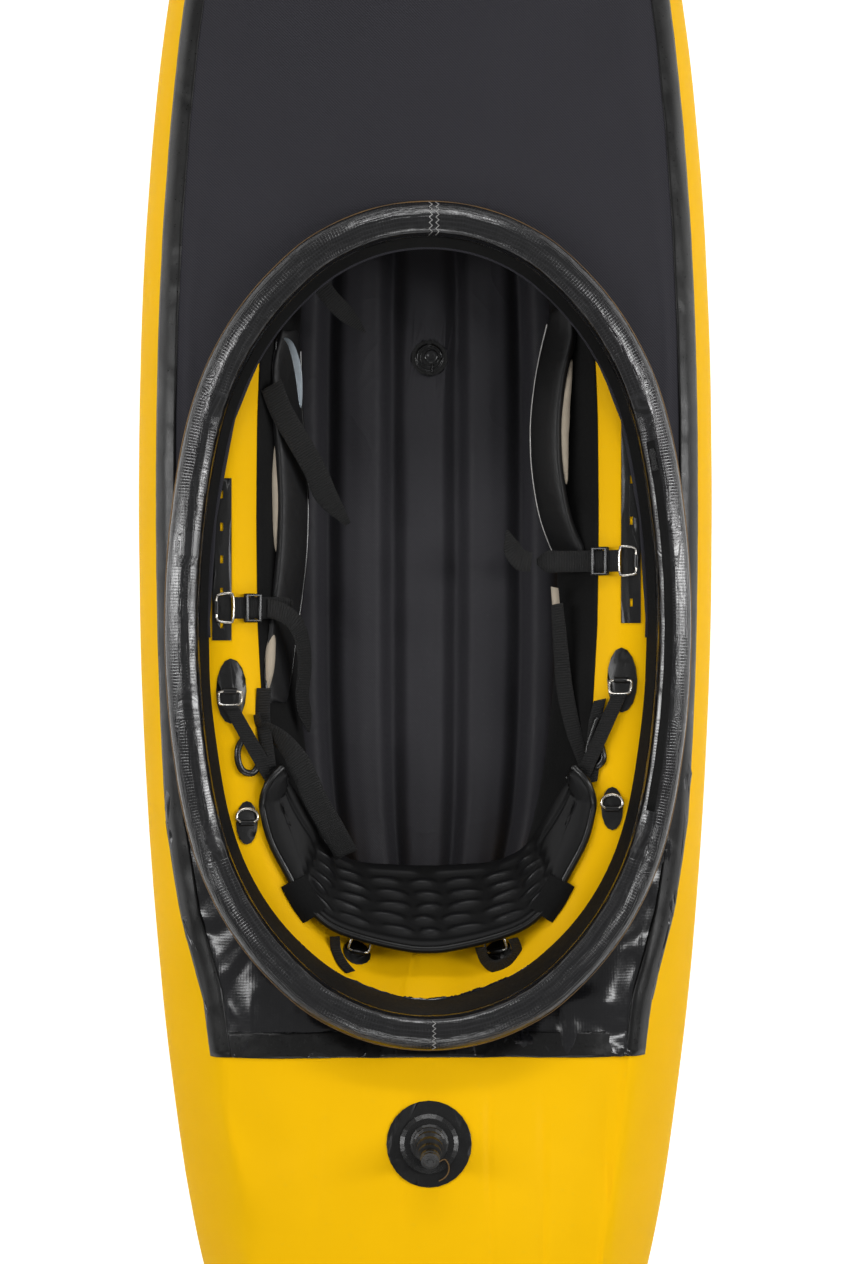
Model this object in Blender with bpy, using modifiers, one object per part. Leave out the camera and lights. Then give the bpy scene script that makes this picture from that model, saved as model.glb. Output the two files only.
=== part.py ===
"""Decked inflatable packraft: hull, floor, spray deck, coaming, backband and thigh gear.

Units are metres, +Z is up, +Y points to the bow and +X to the right when facing the bow.
The origin lies under the middle of the hull, on the surface that the raft stands on.
"""

import math

import bmesh
import bpy
from mathutils import Matrix, Vector
from mathutils.bvhtree import BVHTree

# Hull
HULL_LENGTH = 2.70
HULL_WIDTH = 0.82
BOW_ROUNDNESS = 2.4
STERN_ROUNDNESS = 5.5
STERN_TAPER_SHARE = 0.32
STERN_TAPER_POWER = 1.95
WELL_HALF_WIDTH = 0.19
WELL_BOW_REACH = 0.65
WELL_STERN_REACH = 0.60
WELL_ROUNDNESS = 2.6
FAN_SHARPNESS = 4
SIDE_TUBE_HEIGHT = 0.24
BOW_TUBE_HEIGHT = 0.30
STERN_TUBE_HEIGHT = 0.28
ROCKER_START = 0.72
ROCKER_SPAN = 0.28
BOW_RISE = 0.06
STERN_RISE = 0.04
TIP_LIFT = 0.03
HULL_SKIN = 0.002
STATIONS_PER_QUARTER = 13
TURN_WEIGHT = 0.22
# The section's angles run from the outer side over the top, the well and the bottom.
LINER_TOP_ANGLE = 124
LOWER_SECTION_ANGLES = (152, 180, 208, 238, 270, 300, 330)
LINER_LAST_ANGLE = 208

# Clearances and sheets
GAP = 0.0003
MERGE_DISTANCE = 0.00001
RAY_START = 1.0
FLOOR_SKIN = 0.0015
DECK_SKIN = 0.0012
TAPE_SKIN = 0.001
LINER_SKIN = 0.001
LINER_REACH = 0.47
PATCH_SKIN = 0.002
WEBBING = 0.0018
OVERRUN = 0.02
FLOOR_FLAT_SHARE = 0.45
FLOOR_RING_SHARES = (0.62, 0.8)

# Deck
TAPE_OUTER_INSET = 0.034
TAPE_WIDTH = 0.028
STERN_INSET_GAIN = 0.034
STERN_INSET_START = 0.45
DECK_JOINT_Y = -0.165
DECK_HEM_Y = -0.742
HEM_WIDTH = 0.034
DECK_SEAT_RISE = 0.0035
DECK_FRONT_Z = 0.284
DECK_RISE_START = 0.20
DECK_END_REACH = 0.10
DECK_LEAVE_REACH = 0.12

# Coaming
COAMING_CENTRE_Y = -0.149
LIP_INNER_LENGTH = 0.528
LIP_INNER_WIDTH = 0.314
COAMING_SIDE_RADIUS = 1.25
COAMING_SIDE_REACH = 0.25
COAMING_SHOULDER_ANGLE = 50
COAMING_STEPS = 4
LIP_WIDTH = 0.046
LIP_HEIGHT = 0.0185
LIP_SHARES = (
    (0.00, -0.05), (0.03, 0.42), (0.17, 0.82), (0.45, 1.00), (0.72, 0.88),
    (0.94, 0.50), (1.00, 0.06), (0.93, -0.36), (0.74, -0.47), (0.096, -0.22),
)
LIP_SKIN = 0.0014
HOOP_RADIUS = 0.0077
HOOP_INSET = 0.0118
HOOP_Z = 0.0035
PIPING_RADIUS = 0.0012
PIPING_DROP = 0.001
PIPING_SEAT_SHARE = 0.74
LIP_SIDE_Z = 0.272
LIP_FRONT_Z = 0.312
LIP_REAR_Z = 0.312
WALL_LEAN = 0.010
WALL_SKIN = 0.0012
WALL_SEAT = 0.0014
DECK_EDGE_INSET = 0.0135
ZIP_TAPE_SKIN = 0.0008
ZIP_CLEARANCE = 0.0006
ZIP_MARGIN_SHARE = 0.06
SLIDER_PLACE_SHARE = 0.93
SLIDER_LENGTH = 0.014
SLIDER_WIDTH = 0.009
SLIDER_HEIGHT = 0.0035
PULL_REACH = 0.011
PULL_HALF_WIDTH = 0.0042

# Floor mat
MAT_RIB_PITCH = 0.094
MAT_HALF_WIDTH = 0.208
MAT_BOW_REACH = 0.61
MAT_STERN_REACH = 0.575
MAT_CREST = 0.062
MAT_VALLEY = 0.036
MAT_EDGE = 0.018
MAT_ROUNDNESS = 4
MAT_SIDE_GAP = 0.004
RIB_STEPS = 6
MAT_ROWS = 14
FLOOR_VALVE_X = 0.006
FLOOR_VALVE_Y = 0.241
FLOOR_VALVE_RADIUS = 0.026
FLOOR_VALVE_POCKET = 0.010

# Rear valve
REAR_VALVE_Y = -0.854
VALVE_PATCH_RADIUS = 0.058
VALVE_FLANGE_RADIUS = 0.040
VALVE_FLANGE = 0.004
VALVE_NECK_RADIUS = 0.024
VALVE_HOLE_RADIUS = 0.0245
VALVE_BORE_RADIUS = 0.008
VALVE_SEAT_LIFT = 0.0022
VALVE_NECK_DEPTH = 0.012
BELLOWS_LENGTH = 0.062
BELLOWS_BASE_RADIUS = 0.026
BELLOWS_TIP_RADIUS = 0.013
BELLOWS_RIBS = 6
BELLOWS_RIB = 0.0030
BELLOWS_LEAN = 36
BELLOWS_STRAIGHT_SHARE = 0.3
STOPPER_HEAD_RADIUS = 0.0125
STOPPER_PLUG_RADIUS = 0.0072
STOPPER_PLUG = 0.014
STOPPER_STEPS = (0.006, 0.0045, 0.0034, 0.003)

# Webbing
WIDE_WEBBING = 0.030
SIDE_WEBBING = 0.022
REAR_WEBBING = 0.022
LONG_TAIL_WIDTH = 0.032
SHORT_LEG = 0.012
WEBBING_CLEARANCE = 0.003
TAIL_CLEARANCE = 0.0037
# Places beyond the pad's top edge: distance inward and drop
LEAF_PLACE = (0.022, 0.003)
LEAF_TIP = (0.052, 0.014)
LEFT_END_SLEW = 0.004
LEFT_END_REACH = 0.012
BAND_STRAP_LIFT = 0.004
# Places of the left pad's long tail: distance inward, place along the raft and height
TAIL_OVER_Y = 0.150
TAIL_PLACES = (
    (-0.018, 0.186, 0.006), (0.0, 0.150, 0.002), (0.022, 0.112, 0.0),
    (0.045, 0.072, -0.014), (0.062, 0.034, -0.034),
)
TAIL_END = (-0.112, -0.004, -0.058)

# Rings and their patches
RING_WIRE = 0.0018
RING_WIDTH = 0.030
RING_DEPTH = 0.020
TRIANGLE_BAR = 0.034
TRIANGLE_FAR_BAR = 0.042
TRIANGLE_DEPTH = 0.025
TAB_RADIUS = 0.0042
TAB_BORE = 0.0023
TAB_WIDTH = 0.018
HIP_RING_LIFT = 15
REAR_RING_LIFT = -5
ANCHOR_INSET = {"left": 0.0155, "right": 0.0190}
TRIANGLE_INSET = {"left": 0.0085, "right": 0.0125}
ANCHOR_WIDTH = 0.026
ANCHOR_SLOT_LENGTH = 0.011
ANCHOR_SLOT_WIDTH = 0.004
ANCHOR_SLOTS = 5
ANCHOR_REACHES = {"left": (-0.169, 0.055), "right": (-0.145, 0.139)}
TRIANGLE_Y = {"left": -0.124, "right": -0.059}
HIP_PATCH_Y = {"left": -0.239, "right": -0.224}
HIP_PATCH_LENGTH = 0.090
HIP_PATCH_WIDTH = 0.040
HIP_INSET = {"left": 0.0245, "right": 0.029}
REAR_SIDE_PATCH_Y = {"left": -0.421, "right": -0.402}
REAR_SIDE_PATCH_LENGTH = 0.060
REAR_SIDE_PATCH_WIDTH = 0.030
REAR_SIDE_INSET = 0.0184
STERN_PATCH_X = 0.100
STERN_PATCH_Y = -0.607
STERN_PATCH_LENGTH = 0.036
STERN_PATCH_WIDTH = 0.044

# Ladder locks
LOCK_LENGTH = 0.024
LOCK_WIDTH = 0.038
LOCK_HEIGHT = 0.0076
LOCK_BAR = 0.0045
LOCK_DISTANCE = 0.0285

# Thigh pads: places along the raft with the distance from the tube wall
PAD_HEIGHT = 0.055
PAD_THICKNESS = 0.014
PAD_Z = 0.186
PAD_PATHS = {
    "left": (
        (0.262, 0.010), (0.22, 0.012), (0.16, 0.020), (0.09, 0.029), (0.02, 0.033),
        (-0.05, 0.032), (-0.12, 0.026), (-0.18, 0.018), (-0.22, 0.012), (-0.2526, 0.010),
    ),
    "right": (
        (0.293, 0.010), (0.262, 0.018), (0.22, 0.034), (0.165, 0.049), (0.11, 0.056),
        (0.055, 0.053), (0.005, 0.044), (-0.03, 0.032), (-0.052, 0.020), (-0.064, 0.010),
    ),
}
PAD_SECTION_SHARES = (
    (-0.5, -0.32), (-0.5, 0.32), (-0.22, 0.5), (0.22, 0.5),
    (0.5, 0.32), (0.5, -0.32), (0.22, -0.5), (-0.22, -0.5),
)
PAD_END_SHARE = 0.62

# Backband
BAND_HALF_WIDTH = 0.218
BAND_TOP_Y = -0.40
BAND_TOP_DEPTH = 0.183
BAND_TOP_Z = 0.232
BAND_TIP_Z = 0.240
BAND_FOOT_HALF_WIDTH = 0.176
BAND_FOOT_Y = -0.392
BAND_FOOT_DEPTH = 0.095
BAND_FOOT_Z = 0.100
BAND_FOOT_TIP_Z = 0.208
BAND_ROUNDNESS = 2.4
BAND_SHELL = 0.003
BAND_PAD = 0.010
BAND_BUMP = 0.0055
BAND_RIM_RADIUS = 0.0075
BAND_CLEARANCE = 0.0045
BUMP_HALF_SPREAD = 0.62
BUMP_COLUMNS = 7
BUMP_ROWS = 5
COLUMN_STEPS = 3
WING_STEPS = 5
ROW_STEPS = 2

HALF_LENGTH = HULL_LENGTH / 2
HALF_WIDTH = HULL_WIDTH / 2
SIDES = (("left", -1), ("right", 1))


def clear_scene():
    for item in list(bpy.data.objects):
        bpy.data.objects.remove(item, do_unlink=True)


def new_collection(name):
    collection = bpy.data.collections.new(name)
    bpy.context.scene.collection.children.link(collection)
    return collection


def material(name, colour, roughness, metallic=0.0):
    made = bpy.data.materials.new(name)
    made.use_nodes = True
    shader = made.node_tree.nodes["Principled BSDF"]
    shader.inputs["Base Color"].default_value = (*colour, 1.0)
    shader.inputs["Roughness"].default_value = roughness
    shader.inputs["Metallic"].default_value = metallic
    made.diffuse_color = (*colour, 1.0)
    return made


clear_scene()
PARTS = new_collection("packraft")
CUTTERS = new_collection("cutters")

YELLOW = material("hull_yellow", (0.93, 0.50, 0.006), 0.38)
CHARCOAL = material("deck_charcoal", (0.032, 0.030, 0.038), 0.85)
GLOSS_BLACK = material("coated_black", (0.018, 0.018, 0.018), 0.25)
MATTE_BLACK = material("matte_black", (0.022, 0.022, 0.022), 0.8)
FLOOR_BLACK = material("floor_black", (0.035, 0.034, 0.038), 0.7)
WEBBING_BLACK = material("webbing_black", (0.015, 0.015, 0.014), 0.75)
PLASTIC_BLACK = material("plastic_black", (0.012, 0.012, 0.012), 0.35)
STEEL = material("ring_steel", (0.62, 0.60, 0.56), 0.25, 1.0)
PIPING_BROWN = material("piping_brown", (0.16, 0.09, 0.02), 0.6)


def smooth_step(value):
    value = min(max(value, 0.0), 1.0)
    return value * value * (3 - 2 * value)


def mix(a, b, share):
    return a + (b - a) * share


# Objects from meshes, surfaces and curves


def link(item, home, finish):
    home.objects.link(item)
    item.data.materials.append(finish)
    if home is CUTTERS:
        item.hide_render = True
        item.display_type = "WIRE"
    return item


def smooth_object(item, angle=40):
    item.data.shade_smooth()
    item.data.set_sharp_from_angle(angle=math.radians(angle))
    return item


def object_from_bmesh(name, shape, finish, home=None):
    mesh = bpy.data.meshes.new(name)
    shape.to_mesh(mesh)
    shape.free()
    return link(bpy.data.objects.new(name, mesh), home or PARTS, finish)


def grid_bmesh(rows, wrap_rows=False, wrap_columns=False):
    """A surface through rows of points, split into triangles the same way everywhere."""
    shape = bmesh.new()
    points = [[shape.verts.new(point) for point in row] for row in rows]
    row_count = len(rows) if wrap_rows else len(rows) - 1
    column_count = len(rows[0]) if wrap_columns else len(rows[0]) - 1
    for i in range(row_count):
        upper = points[(i + 1) % len(rows)]
        for j in range(column_count):
            k = (j + 1) % len(rows[0])
            shape.faces.new((points[i][j], upper[j], upper[k]))
            shape.faces.new((points[i][j], upper[k], points[i][k]))
    return shape


def solidify(item, thickness, offset=1.0):
    """Thickness on the outer side (1), on both sides (0) or inward (-1)."""
    thick = item.modifiers.new("thickness", "SOLIDIFY")
    thick.thickness = thickness
    thick.offset = offset
    thick.use_even_offset = True
    return item


def boolean(item, operation, other):
    cut = item.modifiers.new(operation.lower(), "BOOLEAN")
    cut.operation = operation
    cut.object = other
    cut.solver = "EXACT"
    return item


def prism(name, outline, low_z, high_z, finish, home=None):
    """A flat outline in plan, extruded from one level to another."""
    shape = bmesh.new()
    corners = [shape.verts.new((x, y, low_z)) for x, y in outline]
    face = shape.faces.new(corners)
    pushed = bmesh.ops.extrude_face_region(shape, geom=[face])
    raised = [part for part in pushed["geom"] if isinstance(part, bmesh.types.BMVert)]
    bmesh.ops.translate(shape, verts=raised, vec=(0, 0, high_z - low_z))
    bmesh.ops.recalc_face_normals(shape, faces=shape.faces)
    return object_from_bmesh(name, shape, finish, home)


def box_cutter(name, low, high):
    shape = bmesh.new()
    size = Vector(high) - Vector(low)
    middle = (Vector(high) + Vector(low)) / 2
    matrix = Matrix.Translation(middle) @ Matrix.Diagonal((*size, 1))
    bmesh.ops.create_cube(shape, size=1, matrix=matrix)
    return object_from_bmesh(name, shape, MATTE_BLACK, CUTTERS)


def frame_at(place, normal, along):
    """A frame with Z on the normal and X as near as can be to the given direction."""
    z = Vector(normal).normalized()
    x = Vector(along)
    x = (x - z * x.dot(z)).normalized()
    y = z.cross(x)
    return Matrix.Translation(place) @ Matrix((x, y, z)).transposed().to_4x4()


def curve_data(name, splines, cyclic, dimensions="3D"):
    curve = bpy.data.curves.new(name, "CURVE")
    curve.dimensions = dimensions
    for points in splines:
        spline = curve.splines.new("POLY")
        spline.points.add(len(points) - 1)
        for target, point in zip(spline.points, points):
            target.co = (*point, 1.0) if len(point) == 3 else (*point, 0.0, 1.0)
        spline.use_cyclic_u = cyclic
    return curve


def wire(name, points, radius, finish, cyclic=False, resolution=1, matrix=None):
    curve = curve_data(name, [points], cyclic)
    curve.bevel_depth = radius
    curve.bevel_resolution = resolution
    curve.use_fill_caps = True
    made = link(bpy.data.objects.new(name, curve), PARTS, finish)
    if matrix is not None:
        made.matrix_world = matrix
    return made


def plate(name, outlines, thickness, finish, matrix, bevel=0.0, home=None):
    """A flat plate from an outline and its holes, centred on its frame."""
    curve = curve_data(name, outlines, True, "2D")
    curve.fill_mode = "BOTH"
    curve.extrude = thickness / 2 - bevel
    curve.bevel_depth = bevel
    curve.bevel_resolution = 0
    made = link(bpy.data.objects.new(name, curve), home or PARTS, finish)
    made.matrix_world = matrix
    return made


def as_mesh(item):
    """The curve object made a mesh, so that it can be cut or joined."""
    bpy.context.view_layer.update()
    graph = bpy.context.evaluated_depsgraph_get()
    mesh = bpy.data.meshes.new_from_object(item.evaluated_get(graph))
    shape = bmesh.new()
    shape.from_mesh(mesh)
    bmesh.ops.remove_doubles(shape, verts=shape.verts, dist=MERGE_DISTANCE)
    bmesh.ops.recalc_face_normals(shape, faces=shape.faces)
    shape.to_mesh(mesh)
    shape.free()
    made = bpy.data.objects.new(item.name, mesh)
    made.matrix_world = item.matrix_world.copy()
    for home in list(item.users_collection):
        home.objects.link(made)
    made.hide_render = item.hide_render
    made.display_type = item.display_type
    name = item.name
    bpy.data.objects.remove(item, do_unlink=True)
    made.name = name
    return made


def turned(name, profile, finish, matrix, steps=24, home=None):
    """A profile of radius and height, from the top down its outer side, turned round Z."""
    mesh = bpy.data.meshes.new(name)
    points = [(radius, 0.0, height) for radius, height in profile]
    edges = [(i, i + 1) for i in range(len(points) - 1)]
    if profile[0][0] > 0 and profile[-1][0] > 0:
        edges.append((len(points) - 1, 0))
    mesh.from_pydata(points, edges, [])
    made = link(bpy.data.objects.new(name, mesh), home or PARTS, finish)
    screw = made.modifiers.new("turn", "SCREW")
    screw.steps = steps
    screw.render_steps = steps
    screw.use_merge_vertices = True
    screw.merge_threshold = MERGE_DISTANCE
    screw.use_smooth_shade = True
    made.matrix_world = matrix
    return made


def ribbon(name, points, acrosses, thickness, finish):
    """A strip of webbing through points, with its width as a vector at each of them."""
    rows = [[point - across / 2, point + across / 2] for point, across in zip(points, acrosses)]
    return solidify(object_from_bmesh(name, grid_bmesh(rows), finish), thickness, 0.0)


def surface_tree(item):
    """The evaluated object as a tree for rays, in world space."""
    bpy.context.view_layer.update()
    graph = bpy.context.evaluated_depsgraph_get()
    evaluated = item.evaluated_get(graph)
    mesh = evaluated.to_mesh()
    world = evaluated.matrix_world
    points = [world @ vertex.co for vertex in mesh.vertices]
    faces = [tuple(face.vertices) for face in mesh.polygons]
    evaluated.to_mesh_clear()
    return BVHTree.FromPolygons(points, faces)


# Plan curves


def outer_half_width(share, bow):
    if bow:
        return HALF_WIDTH * (1 - share**BOW_ROUNDNESS) ** (1 / BOW_ROUNDNESS)
    taper = 1 - STERN_TAPER_SHARE * share**STERN_TAPER_POWER
    return HALF_WIDTH * taper * (1 - share**STERN_ROUNDNESS) ** (1 / STERN_ROUNDNESS)


def outline_quarter(bow):
    """Points from the side to the tip, closer together where the outline turns."""
    roundness = BOW_ROUNDNESS if bow else STERN_ROUNDNESS
    steps = 720
    dense = []
    for k in range(steps + 1):
        share = min(math.sin(math.pi / 2 * k / steps) ** (2 / roundness), 1.0)
        dense.append(Vector((outer_half_width(share, bow), HALF_LENGTH * share)))
    dense[-1].x = 0.0
    weights = [0.0]
    heading = math.pi / 2
    for a, b in zip(dense, dense[1:]):
        run = b - a
        turn = 0.0
        if run.length > 0:
            new_heading = math.atan2(run.y, run.x)
            turn = abs(new_heading - heading)
            heading = new_heading
        weights.append(weights[-1] + run.length + TURN_WEIGHT * turn)
    stations = []
    for k in range(STATIONS_PER_QUARTER + 1):
        wanted = weights[-1] * k / STATIONS_PER_QUARTER
        near = min(range(len(dense)), key=lambda n: abs(weights[n] - wanted))
        stations.append(dense[near])
    return stations


def fan(share, sharpness):
    return share / (1 + share**sharpness) ** (1 / sharpness)


def well_point(y, bow):
    """The well's edge that belongs to an outer point at this distance from the middle."""
    reach = WELL_BOW_REACH if bow else WELL_STERN_REACH
    share = fan(y / reach, FAN_SHARPNESS) / fan(HALF_LENGTH / reach, FAN_SHARPNESS)
    share = min(share, 1.0)
    width = WELL_HALF_WIDTH * (1 - share**WELL_ROUNDNESS) ** (1 / WELL_ROUNDNESS)
    return Vector((width, reach * share))


def rocker(y):
    rise = BOW_RISE if y > 0 else STERN_RISE
    return rise * (max(abs(y) - ROCKER_START, 0.0) / ROCKER_SPAN) ** 2


def side_top_z():
    return FLOOR_SKIN + GAP + SIDE_TUBE_HEIGHT


# Coaming plan: three arcs a quarter, from the side to the front


def coaming_radii():
    first = math.asin(COAMING_SIDE_REACH / COAMING_SIDE_RADIUS)
    second = math.radians(COAMING_SHOULDER_ANGLE)
    cos_first, cos_second = math.cos(first), math.cos(second)
    sin_first, sin_second = math.sin(first), math.sin(second)
    wide = LIP_INNER_WIDTH - COAMING_SIDE_RADIUS * (1 - cos_first)
    long = LIP_INNER_LENGTH - COAMING_SIDE_RADIUS * sin_first
    a, b = cos_first - cos_second, cos_second
    c, d = sin_second - sin_first, 1 - sin_second
    shoulder = (wide * d - b * long) / (a * d - b * c)
    end = (a * long - c * wide) / (a * d - b * c)
    return first, second, shoulder, end


SIDE_ANGLE, SHOULDER_ANGLE, SHOULDER_RADIUS, END_RADIUS = coaming_radii()


def oval_point(angle, offset=0.0):
    """The oval's point whose outward normal has this angle, in the first quarter."""
    radius = COAMING_SIDE_RADIUS
    x = LIP_INNER_WIDTH - radius
    y = 0.0
    if angle > SIDE_ANGLE:
        x += (radius - SHOULDER_RADIUS) * math.cos(SIDE_ANGLE)
        y += (radius - SHOULDER_RADIUS) * math.sin(SIDE_ANGLE)
        radius = SHOULDER_RADIUS
    if angle > SHOULDER_ANGLE:
        x += (radius - END_RADIUS) * math.cos(SHOULDER_ANGLE)
        y += (radius - END_RADIUS) * math.sin(SHOULDER_ANGLE)
        radius = END_RADIUS
    reach = radius + offset
    return Vector((x + reach * math.cos(angle), y + reach * math.sin(angle)))


def oval_at(y, offset):
    """The offset oval's point at a distance in front of or behind its centre."""
    low, high = 0.0, math.pi / 2
    for _ in range(50):
        middle = (low + high) / 2
        if oval_point(middle, offset).y < abs(y):
            low = middle
        else:
            high = middle
    point = oval_point(low, offset)
    return Vector((max(point.x, 0.0), math.copysign(point.y, y)))


def quarter_angles():
    marks = (0.0, SIDE_ANGLE, SHOULDER_ANGLE, math.pi / 2)
    angles = []
    for start, end in zip(marks, marks[1:]):
        angles += [mix(start, end, k / COAMING_STEPS) for k in range(COAMING_STEPS)]
    return angles + [math.pi / 2]


def coaming_stations():
    """Plan points with their outward normals, once round the oval from the right side."""
    quarter = [(oval_point(angle), angle) for angle in quarter_angles()]
    count = len(quarter) - 1
    ring = []
    for k in range(4 * count):
        part, step = divmod(k, count)
        point, angle = quarter[step] if part % 2 == 0 else quarter[count - step]
        sx = 1 if part in (0, 3) else -1
        sy = 1 if part in (0, 1) else -1
        place = Vector((sx * point.x, COAMING_CENTRE_Y + sy * point.y))
        ring.append((place, Vector((sx * math.cos(angle), sy * math.sin(angle)))))
    return ring


def lip_z(y):
    run = abs(y - COAMING_CENTRE_Y) - COAMING_SIDE_REACH
    share = smooth_step(run / (LIP_INNER_LENGTH - COAMING_SIDE_REACH))
    end = LIP_FRONT_Z if y > COAMING_CENTRE_Y else LIP_REAR_Z
    return mix(LIP_SIDE_Z, end, share)


def deck_edge_z(y):
    """Height of the front deck's inner edge."""
    run = y - COAMING_CENTRE_Y - DECK_RISE_START
    share = smooth_step(run / (LIP_INNER_LENGTH - DECK_EDGE_INSET - DECK_RISE_START))
    return mix(side_top_z() + DECK_SEAT_RISE, DECK_FRONT_Z, share)


def deck_edge_point(x_sign, y_outer):
    """The front deck's inner edge point that belongs to a hull station."""
    front = COAMING_CENTRE_Y + LIP_INNER_LENGTH - DECK_EDGE_INSET
    share = fan(abs(y_outer) / front, 2) / fan(HALF_LENGTH / front, 2)
    y = math.copysign(min(share, 1.0) * front, y_outer)
    plan = oval_at(y - COAMING_CENTRE_Y, -DECK_EDGE_INSET)
    x = 0.0 if share >= 1.0 else plan.x
    return Vector((x_sign * x, y, deck_edge_z(y)))


# Hull sections


class Station:
    """One section of the hull, between its outer point and its well point."""

    def __init__(self, outer, well, slant):
        self.outer = outer
        self.middle = (outer + well) / 2
        self.half = (outer - well) / 2
        end_share = smooth_step((abs(outer.y) / HALF_LENGTH - 0.25) / 0.75)
        end_height = BOW_TUBE_HEIGHT if outer.y > 0 else STERN_TUBE_HEIGHT
        self.rise = mix(SIDE_TUBE_HEIGHT, end_height, end_share) / 2
        self.lift = TIP_LIFT * smooth_step((abs(outer.y) / HALF_LENGTH - 0.4) / 0.6)
        self.centre_z = FLOOR_SKIN + GAP + rocker(self.middle.y) + self.rise
        self.across = self.half.length * slant
        self.angles = []

    def point(self, degrees):
        angle = math.radians(degrees)
        plan = self.middle + self.half * math.cos(angle)
        z = self.centre_z + self.rise * math.sin(angle) + self.lift * math.cos(angle)
        return Vector((plan.x, plan.y, z))

    def inset_angle(self, inset):
        """The angle at which the top surface lies this far in from the outer edge."""
        return math.degrees(math.acos(max(1 - inset / self.across, -1.0)))

    def tape_inset(self):
        run = (-self.outer.y - STERN_INSET_START) / (-DECK_HEM_Y - STERN_INSET_START)
        return TAPE_OUTER_INSET + STERN_INSET_GAIN * smooth_step(run)

    def set_angles(self):
        first = self.inset_angle(self.tape_inset())
        second = self.inset_angle(self.tape_inset() + TAPE_WIDTH)
        leave = self.leaving_angle(second)
        bridge = (leave + LINER_TOP_ANGLE) / 2
        self.angles = [0, first, second, (second + leave) / 2, leave, bridge, LINER_TOP_ANGLE]
        self.angles += list(LOWER_SECTION_ANGLES)

    def leaving_angle(self, first):
        """Where a taut sheet from the coaming touches the tube."""
        if self.outer.y < DECK_JOINT_Y - DECK_LEAVE_REACH:
            return 90.0
        target = deck_edge_point(1 if self.outer.x >= 0 else -1, self.outer.y)
        outward = (self.outer - target.xy).normalized()
        best, steepest = first, -math.inf
        for k in range(int(first) + 4, 118):
            place = self.point(k)
            run = (place.xy - target.xy).dot(outward)
            if run < DECK_EDGE_INSET:
                break
            slope = (place.z - target.z) / run
            if slope > steepest:
                best, steepest = k, slope
        return float(best)


def hull_stations():
    bow, stern = outline_quarter(True), outline_quarter(False)
    count = STATIONS_PER_QUARTER
    plan = []
    for k in range(4 * count):
        part, step = divmod(k, count)
        quarter = bow if part < 2 else stern
        place = quarter[step] if part % 2 == 0 else quarter[count - step]
        well = well_point(place.y, part < 2)
        sx = 1 if part in (0, 3) else -1
        sy = 1 if part < 2 else -1
        plan.append((Vector((sx * place.x, sy * place.y)), Vector((sx * well.x, sy * well.y))))
    stations = []
    for k, (outer, well) in enumerate(plan):
        tangent = plan[(k + 1) % len(plan)][0] - plan[k - 1][0]
        normal = Vector((tangent.y, -tangent.x)).normalized()
        slant = abs((outer - well).normalized().dot(normal))
        stations.append(Station(outer, well, slant))
    for station in stations:
        station.set_angles()
    return stations


STATIONS = hull_stations()
ROWS = [[station.point(angle) for angle in station.angles] for station in STATIONS]


def surface_normals(rows):
    """Outward normals at the hull's points, from the surface's own faces."""
    shape = grid_bmesh(rows, wrap_rows=True, wrap_columns=True)
    bmesh.ops.recalc_face_normals(shape, faces=shape.faces)
    shape.verts.ensure_lookup_table()
    shape.normal_update()
    flat = [vertex.normal.copy() for vertex in shape.verts]
    shape.free()
    return [flat[i * len(rows[0]) : (i + 1) * len(rows[0])] for i in range(len(rows))]


NORMALS = surface_normals(ROWS)


def offset_rows(offset):
    return [
        [point + normal * offset for point, normal in zip(points, normals)]
        for points, normals in zip(ROWS, NORMALS)
    ]


def hull_form(name, offset):
    """The hull's outer surface pushed out, as a form that pieces on the hull are cut to."""
    shape = grid_bmesh(offset_rows(offset), wrap_rows=True, wrap_columns=True)
    bmesh.ops.recalc_face_normals(shape, faces=shape.faces)
    return object_from_bmesh(name, shape, YELLOW, CUTTERS)


FORM_GAP = hull_form("form_gap", GAP)
FORM_DECK = hull_form("form_deck", GAP + DECK_SKIN)
FORM_HEM_LOW = hull_form("form_hem_low", 2 * GAP + DECK_SKIN)
FORM_HEM_HIGH = hull_form("form_hem_high", 2 * GAP + DECK_SKIN + TAPE_SKIN)
FORM_PATCH = hull_form("form_patch", GAP + PATCH_SKIN)
HULL_TREE = surface_tree(hull_form("form_hull", 0.0))


def wall_point(side, y, z):
    """Place and outward normal on the inner side of a side tube."""
    place, normal, _, _ = HULL_TREE.ray_cast(Vector((0, y, z)), Vector((side, 0, 0)))
    return place, (normal if normal.x * side < 0 else -normal)


def top_point(x, y):
    """Place and normal on the hull's top, seen from above."""
    place, normal, _, _ = HULL_TREE.ray_cast(Vector((x, y, RAY_START)), Vector((0, 0, -1)))
    return place, (normal if normal.z > 0 else -normal)


def trim(shape, place, away):
    """Cuts off what lies beyond a plane."""
    parts = shape.verts[:] + shape.edges[:] + shape.faces[:]
    bmesh.ops.bisect_plane(
        shape, geom=parts, plane_co=place, plane_no=away, clear_outer=True
    )


def hull_strip(name, indices, first, last, offset, thickness, finish, cuts=()):
    """A sheet that follows the hull's own faces between two section angles."""
    rows = offset_rows(offset)
    picked = [[rows[i % len(rows)][j] for j in range(first, last + 1)] for i in indices]
    shape = grid_bmesh(picked)
    for place, away in cuts:
        trim(shape, place, away)
    shape.normal_update()
    facing = 0.0
    for face in shape.faces:
        _, normal, _, _ = HULL_TREE.find_nearest(face.calc_center_median())
        facing += face.normal.dot(normal)
    if facing < 0:
        bmesh.ops.reverse_faces(shape, faces=shape.faces)
    return smooth_object(solidify(object_from_bmesh(name, shape, finish), thickness))


# Hull and floor


def rear_valve_frame():
    place, normal = top_point(0.0, REAR_VALVE_Y)
    return frame_at(place, normal, (1, 0, 0))


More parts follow.
